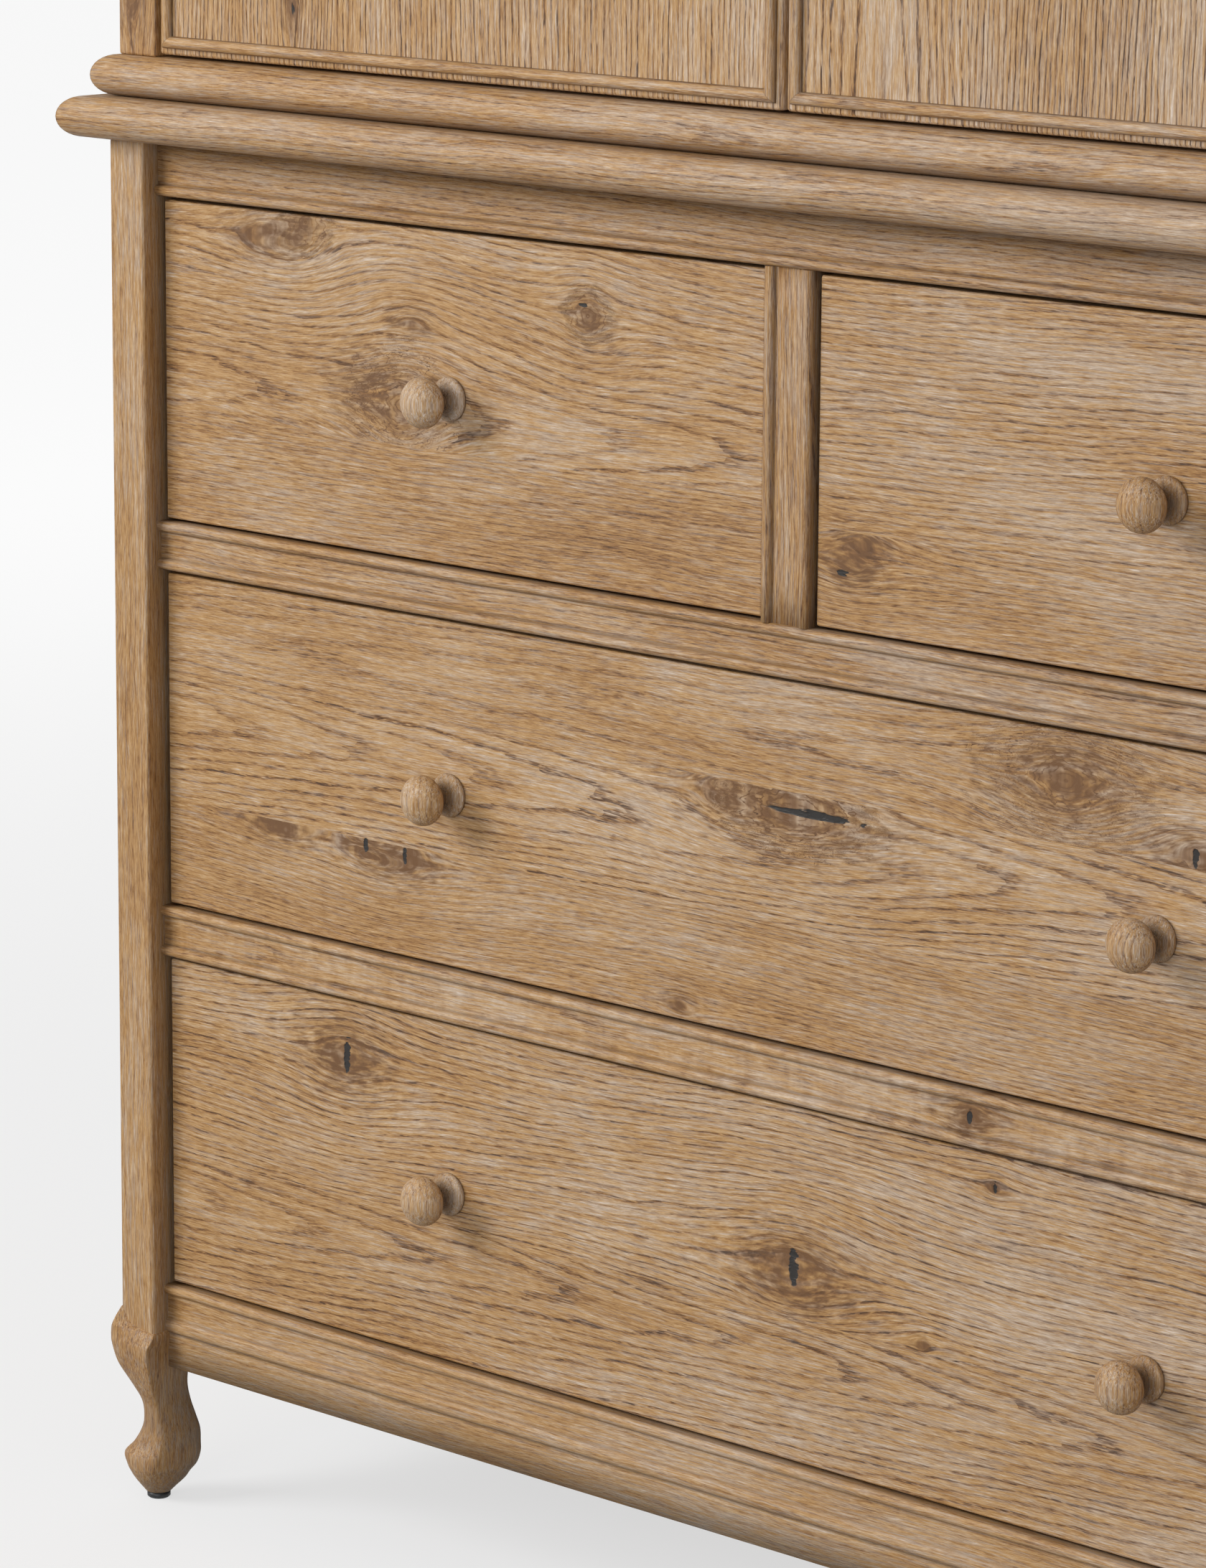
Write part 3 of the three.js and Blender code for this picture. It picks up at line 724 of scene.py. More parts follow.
def divider():
    x0, x1, _, y1, z0, z1 = span("drawer_divider")
    face = y1 - MOULDED_DEPTH
    width = x1 - x0
    outline = beaded_outline(width, [(0, BEAD), (width - BEAD, width)], MOULDED_DEPTH)
    solid = moulding(outline, z0 - TUCK, z1 + TUCK, 8,
                     lambda z, depth, across: (x0 + across, face + depth, z))
    material = oak("drawer_divider_oak", "z", FRONT, (x0, face, z0),
                   [Plank(centre=-50, behind=30, spacing=4.2, climb=0.02)], tone=-0.4)
    make("drawer_divider_moulded", solid, [material], "drawer_divider")


# ---- Waist and cornice boards ----

BULLNOSE_GREY = 0.2
CREASE_SHADE = 0.85  # painted shade on the round of the upper one of two boards, where it comes down to the lower one


def bullnose_board(node, tone, crease=0.0):
    """A board with a full round front and mitred, full round returns at both ends.

    crease is the painted shade at the lower edge of its round, where it meets the board below.
    """
    x0, x1, y0, y1, z0, z1 = span(node)
    radius = (z1 - z0) / 2
    steps, joint = 16, 1.2
    rings, marks = [], []
    for i in range(steps + 1):
        angle = math.pi * i / steps
        inset = radius * (1 - math.sin(angle))
        z = z0 + radius * (1 - math.cos(angle))
        a, b, f = x0 + inset, x1 - inset, y0 + inset
        rings.append([(a, y1, z), (a, f + joint, z), (a, f, z), (a + joint, f, z),
                      (b - joint, f, z), (b, f, z), (b, f + joint, z), (b, y1, z)])
        # The lower edge of the round is painted dark as shade; each mitre keeps a dark joint line.
        crease_shade = crease * max(0.0, 1.0 - i / 7) ** 1.2
        mitre = max(crease_shade, 0.35)
        marks.append([0, crease_shade, mitre, crease_shade, crease_shade, mitre, crease_shade, 0])
    solid = skin(Solid(), rings, [1, 1, 0, 0, 0, 1, 1, 0], marks, capped=False)
    for ring in (rings[0], rings[-1]):
        solid.add(ring, [list(range(len(ring)))])
    plank = Plank(centre=random.Random(node).uniform(-20, 50), behind=18, spacing=4.6, climb=0.018)
    front = oak(node + "_front_oak", "x", FRONT, (x0, y0, z0), [plank], tone=tone, grey=BULLNOSE_GREY)
    returns = oak(node + "_return_oak", "y", SIDE, (x0, y0, z0), [Plank(centre=10, behind=20, climb=0.03)])
    make(node + "_moulded", solid, [front, returns], node)


def boards():
    for lower, upper in (("lower_case_top", "upper_case_base"), ("lower_cornice", "upper_cornice")):
        bullnose_board(lower, -0.05)
        bullnose_board(upper, 0.1, CREASE_SHADE)


# ---- Posts, legs and glides ----

POST_TENON = 5.5  # how far a post runs down inside its knee
GRIME_AND_SHADE_REACH = 3.0  # how far from its inner rear arris a front post is marked; its inner face darkens towards the back of the recess as painted shade, with grime


def lower_posts():
    for where in ("front_left", "front_right", "rear_left", "rear_right"):
        x0, x1, y0, y1, z0, z1 = span(where + "_post")
        solid = eased_box(Solid(), (x0, x1, y0, y1, z0 - POST_TENON, z1), 2.0)
        # A front post's inner face darkens towards the rear of the recess beside the drawers: painted shade,
        # with grime.
        inner, rear = min(abs(x0), abs(x1)) + GRIME_AND_SHADE_REACH, max(y0, y1) - GRIME_AND_SHADE_REACH
        if "front" in where:
            solid.dirt = [1.0 if abs(x) < inner and y > rear else 0.0 for x, y, _ in solid.points]
        plank = Plank(centre=random.Random(where).uniform(-60, -20), behind=24, spacing=4.4, climb=0.012,
                      lines=0.4)
        material = oak(where + "_post_oak", "z", FRONT, (x0, y0, z0), [plank])
        make(where + "_post_eased", solid, [material], where + "_post")


# Height above the glide, then how far in from the post's outer corner, along the case's diagonal, the
# outer and the inner side are, then half the width across, how round the section is (2 for an ellipse,
# 1 for a lozenge), and how far its two side arrises stand inward of its middle
LEG_SHAPE = [
    (0, 15.8, 33.2, 8.7, 2.0, 0),
    (4, 12.8, 37.5, 12.3, 1.9, -1),
    (9, 9.3, 43, 16, 1.8, -3),
    (14, 6, 46.5, 18.7, 1.65, -4.5),
    (20, 3, 51.3, 21.3, 1.55, -5),
    (28, 1.3, 53.8, 22, 1.45, -4),
    (35, 7.8, 53.9, 20.5, 1.45, -4.5),
    (45, 13.6, 53.5, 18, 1.5, -6),
    (55, 15.4, 50.5, 16.8, 1.5, -7),
    (66, 13.6, 47, 17, 1.4, -6),
    (78, 6.3, 45, 19.5, 1.25, -4.5),
    (92.5, -2.7, 46, 23.5, 1.12, -3),
    (106, -6.8, 46.5, 25.3, 1.08, -2.5),
    (112, -7.4, 46.5, 25.3, 1.06, 0.5),
    (116, -7.3, 46.3, 24.2, 1.06, 2.6),
    (118.3, -7.1, 45.8, 22.8, 1.06, 3.4),
    (119.6, -6.8, 45, 20.3, 1.06, 3.2),
    (122.6, -5.6, 44.5, 13.4, 1.06, 2),
    (127, -3.4, 44, 11.5, 1.06, 1),
    (133, 0.2, 43, 11.5, 1.06, 0),
]


LEG_GRIME_AND_SHADE = 0.42  # dark brown on a leg: grime and painted shade in the hollows, painted shade on the inner side
DEEPEST_HOLLOW = 15.4
REAR_LEG_INSET = 0.4  # so that the knees of the rear legs don't stand out behind the boards


def carved_leg(where, side_x, side_y):
    corner_x = side_x * span("front_right_post")[1]
    corner_y = span("front_left_post")[2] if side_y < 0 else span("rear_left_post")[3] - REAR_LEG_INSET
    floor = span(where + "_leg")[4]
    count = 48
    rings, marks = [], []
    for z, outer, inner, across, roundness, arris in smooth_profile(LEG_SHAPE, 5):
        centre, along = (outer + inner) / 2, (inner - outer) / 2
        hollow = max(0.0, outer) / DEEPEST_HOLLOW
        ring, leg_grime_and_shade = [], []
        for i in range(count):
            angle = 2 * math.pi * i / count
            c, s = math.cos(angle), math.sin(angle)
            # Darker in the hollows (grime and painted shade) and on the inner side (painted shade).
            leg_grime_and_shade.append(LEG_GRIME_AND_SHADE * (0.55 * hollow + 0.45 * max(0.0, c)))
            far_c, far_s = abs(c) ** (2 / roundness), abs(s) ** (2 / roundness)
            u = centre + along * math.copysign(far_c, c) + arris * far_s
            v = across * math.copysign(far_s, s)
            inward_x, inward_y = (u + v) / math.sqrt(2), (u - v) / math.sqrt(2)
            ring.append((corner_x - side_x * inward_x, corner_y - side_y * inward_y, floor + z))
        rings.append(ring)
        marks.append(leg_grime_and_shade)
    solid = skin(Solid(), rings, dirt=marks)
    plank = Plank(centre=-30, behind=20, spacing=4.6, lines=0.15)
    material = oak(where + "_leg_oak", "z", FRONT, span(where + "_leg")[::2], [plank], lime=0.35,
                   tone=-0.25, grey=0.25)
    make(where + "_leg_carved", solid, [material], where + "_leg")


def glide(where):
    x0, x1, y0, y1, z0, z1 = span(where + "_glide")
    radius = (x1 - x0) / 2
    profile = [(0, 0, 0), (radius - 1.2, 0, 0), (radius, 1.1, 0), (radius, z1 - z0, 0), (0, z1 - z0, 0)]
    solid = turned(Solid(), profile, (0, 0, 1), ((x0 + x1) / 2, (y0 + y1) / 2, z0), 32)
    make(where + "_glide_foot", solid, [BLACK_PLASTIC], where + "_glide", slot="black_glide")


def legs():
    for end, side_y in (("front", -1), ("rear", 1)):
        for side, side_x in SIDES:
            carved_leg(f"{end}_{side}", side_x, side_y)
            glide(f"{end}_{side}")


# ---- Knobs ----

# Radius, distance out from the front, and darkening at the foot and in the neck under the head: grime and
# painted shade
KNOB_PROFILE = [
    (0.0, -0.3, 0.6), (13.6, -0.3, 0.6), (14.4, 1.2, 0.35), (13.6, 3.2, 0.1), (11.0, 4.9, 0.25),
    (8.4, 8.0, 0.6), (7.3, 12.0, 0.8), (8.2, 16.0, 0.6), (12.8, 18.8, 0.35), (15.8, 22.2, 0.1),
    (16.4, 25.6, 0.0), (15.3, 29.4, 0.0), (12.1, 33.0, 0.0), (7.0, 35.8, 0.0), (2.5, 36.9, 0.0),
    (0.0, 37.0, 0.0),
]


def knob(node, body):
    x0, x1, y0, y1, z0, z1 = span(node)
    centre = ((x0 + x1) / 2, y1, (z0 + z1) / 2)
    profile = [KNOB_PROFILE[0]] + smooth_profile(KNOB_PROFILE[1:], 4)
    solid = turned(Solid(), profile, (0, -1, 0), centre, 48)
    plank = Plank(centre=random.Random(node).uniform(-40, 70), behind=14, spacing=4.0, climb=0.02)
    # The knobs' high lime and the left knobs' pale, grey tone are partly painted sheen: they stand in for
    # whitish highlights on the heads, as well as liming.
    tone, grey = (0.65, 0.2) if x0 < 0 else (-0.1, -0.1)
    material = oak(node + "_oak", "z", FRONT, (x0, y0, z0), [plank], warp=2.0, lime=1.7, tone=tone, grey=grey)
    make(node + "_turned", solid, [material], node, body=body)


# ---- Drawers ----

KNOTS = {
    "middle_drawer": [
        Knot(560, 146, 24, 2.5, 1.0, crack=(14, 0, 40, 2.6), rings=1.2),
        Knot(499, 150, 9, 1.8, 0.8),
        Knot(769, 196, 30, 1.6, 0.75, rings=1.5),
        Knot(865, 165, 12, 2.2, 0.9, crack=(0, 0, 2.2, 7)),
        Knot(216, 66, 15, 2.4, 0.95, crack=(8, 2, 2.0, 8)),
        Knot(188, 68, 8, 2.0, 0.9, crack=(0, 0, 2.2, 5)),
        Knot(108, 70, 12, 2.6, 0.85),
        Knot(465, 8, 6, 2.2, 0.8),
    ],
    "bottom_drawer": [
        Knot(168, 188, 20, 1.7, 0.95, push=2.2, crack=(2, 0, 3.0, 11)),
        Knot(565, 121, 22, 1.7, 0.95, push=2.4, crack=(-2, 3, 4.0, 12)),
        Knot(722, 207, 5, 1.6, 0.9, crack=(0, 0, 1.4, 4)),
        Knot(667, 97, 4, 1.6, 0.8),
    ],
    "top_left_drawer": [
        Knot(100, 196, 15, 2.4, 0.6),
        Knot(134, 208, 16, 1.3, 0.5, rings=1.3),
        Knot(384, 170, 15, 1.2, 0.75, rings=1.2, crack=(-4, 7, 4, 1.6)),
        Knot(222, 98, 36, 1.15, 0.35, rings=1.25),
        Knot(192, 104, 22, 1.5, 0.55, push=0.0),
        Knot(230, 150, 7, 2.4, 0.7),
    ],
    "top_right_drawer": [
        Knot(27, 40, 12, 1.7, 0.9, crack=(-6, -6, 5, 2.0)),
        Knot(36, 54, 8, 2.0, 0.9),
    ],
}
DRAWER_PLANKS = {
    "top_left_drawer": [Plank(0, -60, 24, 0.01, 3.4, -0.25, 0.5), Plank(72, 100, 26, 0.05, 5.2, 0.1, 1.0)],
    "top_right_drawer": [Plank(0, -40, 30, 0.02, 4.2, 0.0, 0.6),
                         Plank(60, 20, 20, -0.045, 5.0, 0.1, 0.9)],
    "middle_drawer": [Plank(0, -50, 30, 0.015, 3.4, -0.05, 0.6), Plank(72, 130, 22, 0.05, 5.2, 0.2, 1.25),
                      Plank(158, 190, 30, -0.02, 4.6, 0.0, 0.75)],
    "bottom_drawer": [Plank(0, 66, 16, 0.055, 6.0, 0.05, 1.05), Plank(92, 250, 30, 0.02, 4.2, 0.1, 1.15)],
}


DRAWER_DROP = 0.8  # a drawer front hangs this much below its CAD solid


def drawer_front(name):
    board(name + "_front", "x", FRONT, DRAWER_PLANKS[name], 1.6, name, below=DRAWER_DROP, knots=KNOTS[name])


TAIL = 26.0  # a dovetail's width at the board's end
TAIL_FLARE = 3.2
WALL = 12.0  # how thick a drawer's walls are
GROOVE = 3.0  # how far a drawer's bottom sits in its walls
DRAWER_BOTTOM = (10, 16)  # the heights of its two faces above the walls' lower edges


def dovetail_edge(bottom, top):
    """The (depth, height) points of a side board's dovetailed end, from the bottom up."""
    count = max(3, round((top - bottom) / (TAIL * 1.6)))
    pitch = (top - bottom) / count
    points = []
    for i in range(count):
        middle = bottom + pitch * (i + 0.5)
        half = TAIL / 2
        points += [(WALL, middle - half + TAIL_FLARE), (0, middle - half), (0, middle + half),
                   (WALL, middle + half - TAIL_FLARE)]
    return points


def prism(solid, outline, low, high, finish=0):
    """An outline of (y, z) points, drawn along x from low to high."""
    return skin(solid, [[(x, y, z) for y, z in outline] for x in (low, high)], finish, smooth=False)


def drawer_box(name):
    node = name + "_box"
    x0, x1, y0, y1, z0, z1 = span(node)
    solid = Solid()
    front = [(y0 + d, z) for d, z in dovetail_edge(z0, z1)]
    back = [(y1 - d, z) for d, z in dovetail_edge(z0, z1)][::-1]
    outline = [(y0 + WALL, z0)] + front + [(y0 + WALL, z1), (y1 - WALL, z1)] + back + [(y1 - WALL, z0)]
    walls = ((x0, x0 + WALL), (x1 - WALL, x1))
    for low, high in walls:
        prism(solid, outline, low, high)
    for near, far in ((y0, y0 + WALL), (y1, y1 - WALL)):
        low, high = sorted((near, far))
        eased_box(solid, (x0 + WALL - 0.1, x1 - WALL + 0.1, low, high, z0, z1), 0.6, 1)
        for pin in pin_outlines(z0, z1):
            outline_pin = [(near + (far - near) * d / WALL, z) for d, z in pin]
            for left, right in walls:
                prism(solid, outline_pin, left, right, 2)
    inset = WALL - GROOVE
    faces = (z0 + height for height in DRAWER_BOTTOM)
    eased_box(solid, (x0 + inset, x1 - inset, y0 + inset, y1 - inset, *faces), 0.4, 3)
    sides = oak(node + "_side_oak", "y", SIDE, (x0, y0, z0), some_planks(node, z1 - z0), lime=0.5, tone=0.1)
    ends = oak(node + "_end_oak", "x", FRONT, (x0, y0, z0), some_planks(node + "e", z1 - z0), lime=0.5)
    pins = oak(node + "_pin_oak", "x", SIDE, (x0, y0, z0), [Plank(spacing=2.2)], lime=0.3, tone=-0.9)
    bottom = oak(node + "_bottom_oak", "x", TOP, (x0, y0, z0), some_planks(node + "b", y1 - y0), lime=0.4)
    make(node + "_dovetailed", solid, [sides, ends, pins, bottom], node, body=name, slot="interior_oak")


def pin_outlines(bottom, top):
    """The (depth, height) outlines of the pins between the dovetails, a hair smaller than their sockets."""
    edge = dovetail_edge(bottom, top)
    gap = 0.12
    outlines = []
    count = len(edge) // 4
    for i in range(count + 1):
        below = edge[4 * (i - 1):4 * i] if i else None
        above = edge[4 * i:4 * i + 4] if i < count else None
        low_back = below[3][1] + gap if below else bottom
        low_face = below[2][1] + gap if below else bottom
        high_back = above[0][1] - gap if above else top
        high_face = above[1][1] - gap if above else top
        outlines.append([(WALL, low_back), (0, low_face), (0, high_face), (WALL, high_back)])
    return outlines


def drawers():
    for name in ("top_left_drawer", "top_right_drawer", "middle_drawer", "bottom_drawer"):
        drawer_front(name)
        drawer_box(name)
    for name in ("top_left_drawer", "top_right_drawer"):
        knob(name + "_knob", name)
    for name in ("middle_drawer", "bottom_drawer"):
        for side in ("left", "right"):
            knob(f"{name}_{side}_knob", name)


# ---- Doors ----

def door(side):
    body = side + "_door"
    panel = body + "_panel"
    x0, x1 = span(panel)[:2]
    planks = some_planks(panel, x1 - x0, 110, 170, (3.4, 5.2), 1.4)
    knots = [Knot(38, 125, 8, 2.0, 0.9, crack=(0, 0, 5, 1.6))] if side == "left" else []
    board(panel, "z", FRONT, planks, 2.2, body, knots=knots)
    bead_frame(body)
    knob(body + "_knob", body)


# Inward from the moulding's CAD edge, out from the door's face, and darkening where it meets the door's face:
# grime and painted shade
BEAD_FRAME_PROFILE = [
    (-2.0, 0.3, 0.8), (-1.9, -1.2, 0.5), (-1.2, -2.9, 0.1), (0.4, -4.2, 0.0), (2.0, -4.5, 0.0),
    (3.6, -4.2, 0.0), (5.2, -2.9, 0.1), (5.9, -1.2, 0.5), (6.0, 0.3, 0.9),
]
MITRE = 0.8  # the width of the dirty line where two lengths of it meet


def bead_frame(body):
    """The half round moulding planted round a door's face, mitred at its corners."""
    node = body + "_bead_frame"
    x0, x1, y0, y1, z0, z1 = span(node)
    rings, marks = [], []
    for inward, rise, mark in smooth_profile(BEAD_FRAME_PROFILE, 2):
        a, b, c, d = x0 + inward, x1 - inward, z0 + inward, z1 - inward
        corners = [(a, c), (b, c), (b, d), (a, d)]
        ring = []
        for here, there in zip(corners, corners[1:] + corners[:1]):
            step = [MITRE * ((q > p) - (q < p)) for p, q in zip(here, there)]
            after = [p + t for p, t in zip(here, step)]
            before = [q - t for q, t in zip(there, step)]
            ring += [(x, y1 + rise, z) for x, z in (here, after, before)]
        rings.append(ring)
        marks.append([max(mark, 0.5), mark, mark] * 4)
    solid = skin(Solid(), rings, [0, 0, 0, 1, 1, 1] * 2, marks, capped=False, looped=True)
    level = oak(node + "_level_oak", "x", FRONT, (x0, y0, z0), [Plank(centre=30, spacing=3.6, climb=0.01)])
    upright = oak(node + "_upright_oak", "z", FRONT, (x0, y0, z0),
                  [Plank(centre=40, spacing=3.8, climb=0.01)])
    make(node + "_mitred", solid, [level, upright], node, body=body)


KNUCKLE_RADIUS = 4.0
KNUCKLE_GAP = 0.25
PIN_RADIUS = 1.9
FIXED_LEAF = 1.3  # how far the case's leaf of a hinge stands out
MOVING_LEAF = (0.1, 1.2)  # where the door's leaf starts and ends, out from the door's edge
LEAF_SCREW = 11.0  # from the pin back to a hinge leaf's screws
LEAF_SCREW_RADIUS = 2.6
LEAF_SCREW_PROUD = 0.05


def hinges(side, sign):
    """Butt hinges: three knuckles and a leaf on the case, two knuckles and a leaf on the door."""
    door_x = span(side + "_door_panel")[1 if sign > 0 else 0]
    for place in ("lower", "upper"):
        node = f"{side}_door_{place}_hinge"
        x0, x1, y0, y1, z0, z1 = span(node)
        inner, outer = (x0, x1) if sign > 0 else (x1, x0)
        pin_x = inner + sign * KNUCKLE_RADIUS
        pin_y = y0 + KNUCKLE_RADIUS
        length = (z1 - z0) / 5
        tall = length - 2 * KNUCKLE_GAP
        fixed, moving = Solid(), Solid()
        for i in range(5):
            target = moving if i % 2 else fixed
            rim = KNUCKLE_RADIUS - 0.5
            side_radius = KNUCKLE_RADIUS - 0.1
            profile = [(0, 0, 0), (rim, 0, 0), (side_radius, 0.5, 0), (side_radius, tall - 0.5, 0),
                       (rim, tall, 0), (0, tall, 0)]
            turned(target, profile, (0, 0, 1), (pin_x, pin_y, z0 + length * i + KNUCKLE_GAP), 24)
        pin = z1 - z0 - 1.2
        turned(fixed, [(0, 0, 0), (PIN_RADIUS, 0, 0), (PIN_RADIUS, pin, 0), (0, pin, 0)],
               (0, 0, 1), (pin_x, pin_y, z0 + 0.6), 16)
        for leaf, near, far in ((fixed, outer, outer - sign * FIXED_LEAF),
                                (moving, *(door_x + sign * out for out in MOVING_LEAF))):
            eased_box(leaf, (*sorted((near, far)), pin_y, y1, z0 + 1, z1 - 1), 0.3)
        fixed_head = outer - sign * (FIXED_LEAF + LEAF_SCREW_PROUD)
        moving_head = door_x + sign * (MOVING_LEAF[1] + LEAF_SCREW_PROUD)
        for i in range(3):
            height = lerp(z0, z1, (i + 0.5) / 3)
            for leaf, head, inward in ((fixed, fixed_head, sign), (moving, moving_head, -sign)):
                screw(leaf, (head, pin_y + LEAF_SCREW, height), (inward, 0, 0), LEAF_SCREW_RADIUS)
        make(node + "_fixed", fixed, [BRASS], node, slot="aged_brass")
        make(node + "_moving", moving, [BRASS], body=side + "_door", slot="aged_brass")


def doors():
    for side, sign in SIDES:
        door(side)
        hinges(side, sign)


# ---- Case sides, backs and insides ----

def upper_case():
    plank = Plank(centre=-30, behind=26, climb=0.012)
    for side in ("left", "right"):
        knots = [Knot(40, 13, 9, 2.2, 0.85, push=1.0)] if side == "left" else []
        board(f"upper_{side}_post", "z", FRONT, [plank], 1.8, below=TUCK, knots=knots, tone=-0.4)
        side_board(f"upper_{side}_side")
    board("door_rail", "x", FRONT, [Plank(centre=-20, behind=24, climb=0.02)], 1.2)


def side_board(node):
    y0, y1 = span(node)[2:4]
    board(node, "z", SIDE, some_planks(node, y1 - y0), 1.0)


SIDE_RAIL_PROUD = 2.0
SIDE_BEAD_FLATTENING = 0.7


def side_rail(side, sign, level, low, high, beads):
    """A beaded rail across a side of the lower case, between its posts."""
    panel = span(f"lower_{side}_side")
    face = panel[0 if sign < 0 else 1] + sign * SIDE_RAIL_PROUD
    near = span(f"front_{side}_post")[3] - TUCK
    far = span(f"rear_{side}_post")[2] + TUCK
    solid = moulding(
        beaded_outline(high - low, beads, SIDE_RAIL_PROUD + 1.0), near, far, 20,
        lambda y, depth, height: (face - sign * depth * SIDE_BEAD_FLATTENING, y, low + height))
    name = f"lower_{side}_side_{level}_rail"
    plank = Plank(centre=-30, behind=30, spacing=4.4, lines=0.5)
    make(name, solid, [oak(name + "_oak", "y", SIDE, (face, near, low), [plank])])


def lower_sides():
    for side, sign in SIDES:
        side_board(f"lower_{side}_side")
        low, high = span("bottom_rail")[4:]
        side_rail(side, sign, "bottom", low, high, [APRON_RIDGE, (high - low - BEAD, high - low)])
        side_rail(side, sign, "top", *span("top_rail")[4:], [(0, BEAD)])


SCREW_PITCH = 150.0
SCREW_INSET = 9.0
SCREW_PROUD = 0.15
BACK_SET_IN = 0.3  # so that the screw heads don't stand out of the case


def backs():
    for node in ("lower_back", "upper_back"):
        x0, x1, y0, y1, z0, z1 = span(node)
        solid = eased_box(Solid(), (x0, x1, y0, y1 - BACK_SET_IN, z0, z1), 0.5)
        across = round((x1 - x0) / SCREW_PITCH)
        upward = round((z1 - z0) / SCREW_PITCH)
        places = [(lerp(x0 + SCREW_INSET, x1 - SCREW_INSET, i / across), z)
                  for z in (z0 + SCREW_INSET, z1 - SCREW_INSET) for i in range(across + 1)]
        places += [(x, lerp(z0 + SCREW_INSET, z1 - SCREW_INSET, i / upward))
                   for x in (x0 + SCREW_INSET, x1 - SCREW_INSET) for i in range(1, upward)]
        for x, z in places:
            screw(solid, (x, y1 - BACK_SET_IN + SCREW_PROUD, z), (0, -1, 0), 3.2, 1)
        planks = some_planks(node, x1 - x0, 180, 320)
        material = oak(node + "_ply", "z", FRONT, (x0, y0, z0), planks, lime=0.4)
        make(node + "_panel", solid, [material, STEEL], node, slot="back_panel_ply")


GUIDE_HEIGHT = 12.0
GUIDE_INNER = 541.0  # from the middle to the outer guide strips
MIDDLE_GUIDE = 33.0  # half the width of the strip between the two small drawers


def runner_panels():
    for node in ("upper_runner_panel", "lower_runner_panel", "bottom_runner_panel"):
        x0, x1, y0, y1, z0, z1 = span(node)
        top = z1 - GUIDE_HEIGHT
        solid = eased_box(Solid(), (x0, x1, y0, y1, z0, top), 0.8)
        guide = x1 - GUIDE_INNER
        strips = [(x0, x0 + guide), (x1 - guide, x1)]
        if node == "upper_runner_panel":
            strips.append((-MIDDLE_GUIDE, MIDDLE_GUIDE))
        for low, high in strips:
            eased_box(solid, (low, high, y0, y1, top - 0.1, z1), 0.8, 1)
        panel = oak(node + "_board_oak", "x", TOP, (x0, y0, z0), some_planks(node, y1 - y0), lime=0.4)
        strip = oak(node + "_guide_oak", "y", TOP, (x0, y0, z0), [Plank(spacing=4)], lime=0.4)
        make(node + "_with_guides", solid, [panel, strip], node, slot="interior_oak")


ROD_RADIUS = 12.5
FLANGE = 8.0  # how far the flange at each end of the rod stands out
FLANGE_SCREWS = 4.5  # from the flange's rim in to its screws


def shelf_and_rod():
    y0, y1 = span("hat_shelf")[2:4]
    board("hat_shelf", "x", TOP, some_planks("hat_shelf", y1 - y0), 1.5, slot="interior_oak", lime=0.4)
    x0, x1, y0, y1, z0, z1 = span("hanging_rod")
    centre_y, centre_z = (y0 + y1) / 2, (z0 + z1) / 2
    rim = (z1 - z0) / 2
    length = x1 - x0
    # The rod darkens where it meets each flange: grime and painted shade in the crease.
    profile = [(0, 0, 0), (rim - 1, 0, 0), (rim, 1, 0), (rim, FLANGE - 1.5, 0), (rim - 2, FLANGE, 0),
               (ROD_RADIUS + 2, FLANGE, 0), (ROD_RADIUS, FLANGE + 1, 0.7), (ROD_RADIUS, FLANGE + 6, 0)]
    profile += [(radius, length - at, mark) for radius, at, mark in reversed(profile)]
    solid = turned(Solid(), profile, (1, 0, 0), (x0, centre_y, centre_z), 40)
    material = oak("hanging_rod_oak", "x", FRONT, (x0, y0, z0), [Plank(spacing=4)], lime=0.4)
    reach = rim - FLANGE_SCREWS
    for end, sign in ((x0, 1), (x1, -1)):
        for angle in (math.pi / 2, math.pi * 7 / 6, math.pi * 11 / 6):
            y, z = centre_y + reach * math.cos(angle), centre_z + reach * math.sin(angle)
            screw(solid, (end + sign * (FLANGE - 0.1), y, z), (-sign, 0, 0), 2.4, 1)
    make("hanging_rod_turned", solid, [material, STEEL], "hanging_rod", slot="interior_oak")


MAGNET_HALF = 6.0
STRIKE_HALF = 7.0
DOOR_TOP = 2029.0


def door_catch():
    """The twin magnetic catch under the door rail, and each door's steel strike plate."""
    x0, x1, y0, y1, z0, z1 = span("door_catch")
    solid = eased_box(Solid(), (x0, x1, y0 + 0.8, y1, z0, z1), 1.2)
    for centre in ((x0 * 3 + x1) / 4, (x0 + x1 * 3) / 4):
        box = (centre - MAGNET_HALF, centre + MAGNET_HALF, y0, y0 + 3, z0 + 4, z1 - 4)
        eased_box(solid, box, 0.4, 1)
    for x in (x0 + 3.5, x1 - 3.5):
        screw(solid, (x, (y0 + y1) / 2, z0 - 0.1), (0, 0, 1), 2.0, 1)
    make("door_catch_moulded", solid, [CATCH_PLASTIC, STEEL], "door_catch", slot="catch_plastic")
    for side, sign in SIDES:
        middle = sign * (x1 - x0) / 4
        back = span(side + "_door_panel")[3]
        box = (middle - STRIKE_HALF, middle + STRIKE_HALF, back - 0.6, back + 0.25, z0 + 1, min(z1, DOOR_TOP))
        plate = eased_box(Solid(), box, 0.2)
        screw(plate, (middle, back + 0.35, (z0 + z1) / 2 - 1), (0, -1, 0), 2.0)
        make(side + "_door_strike_plate", plate, [STEEL], body=side + "_door", slot="aged_brass")


# ---- Stage, light and camera ----

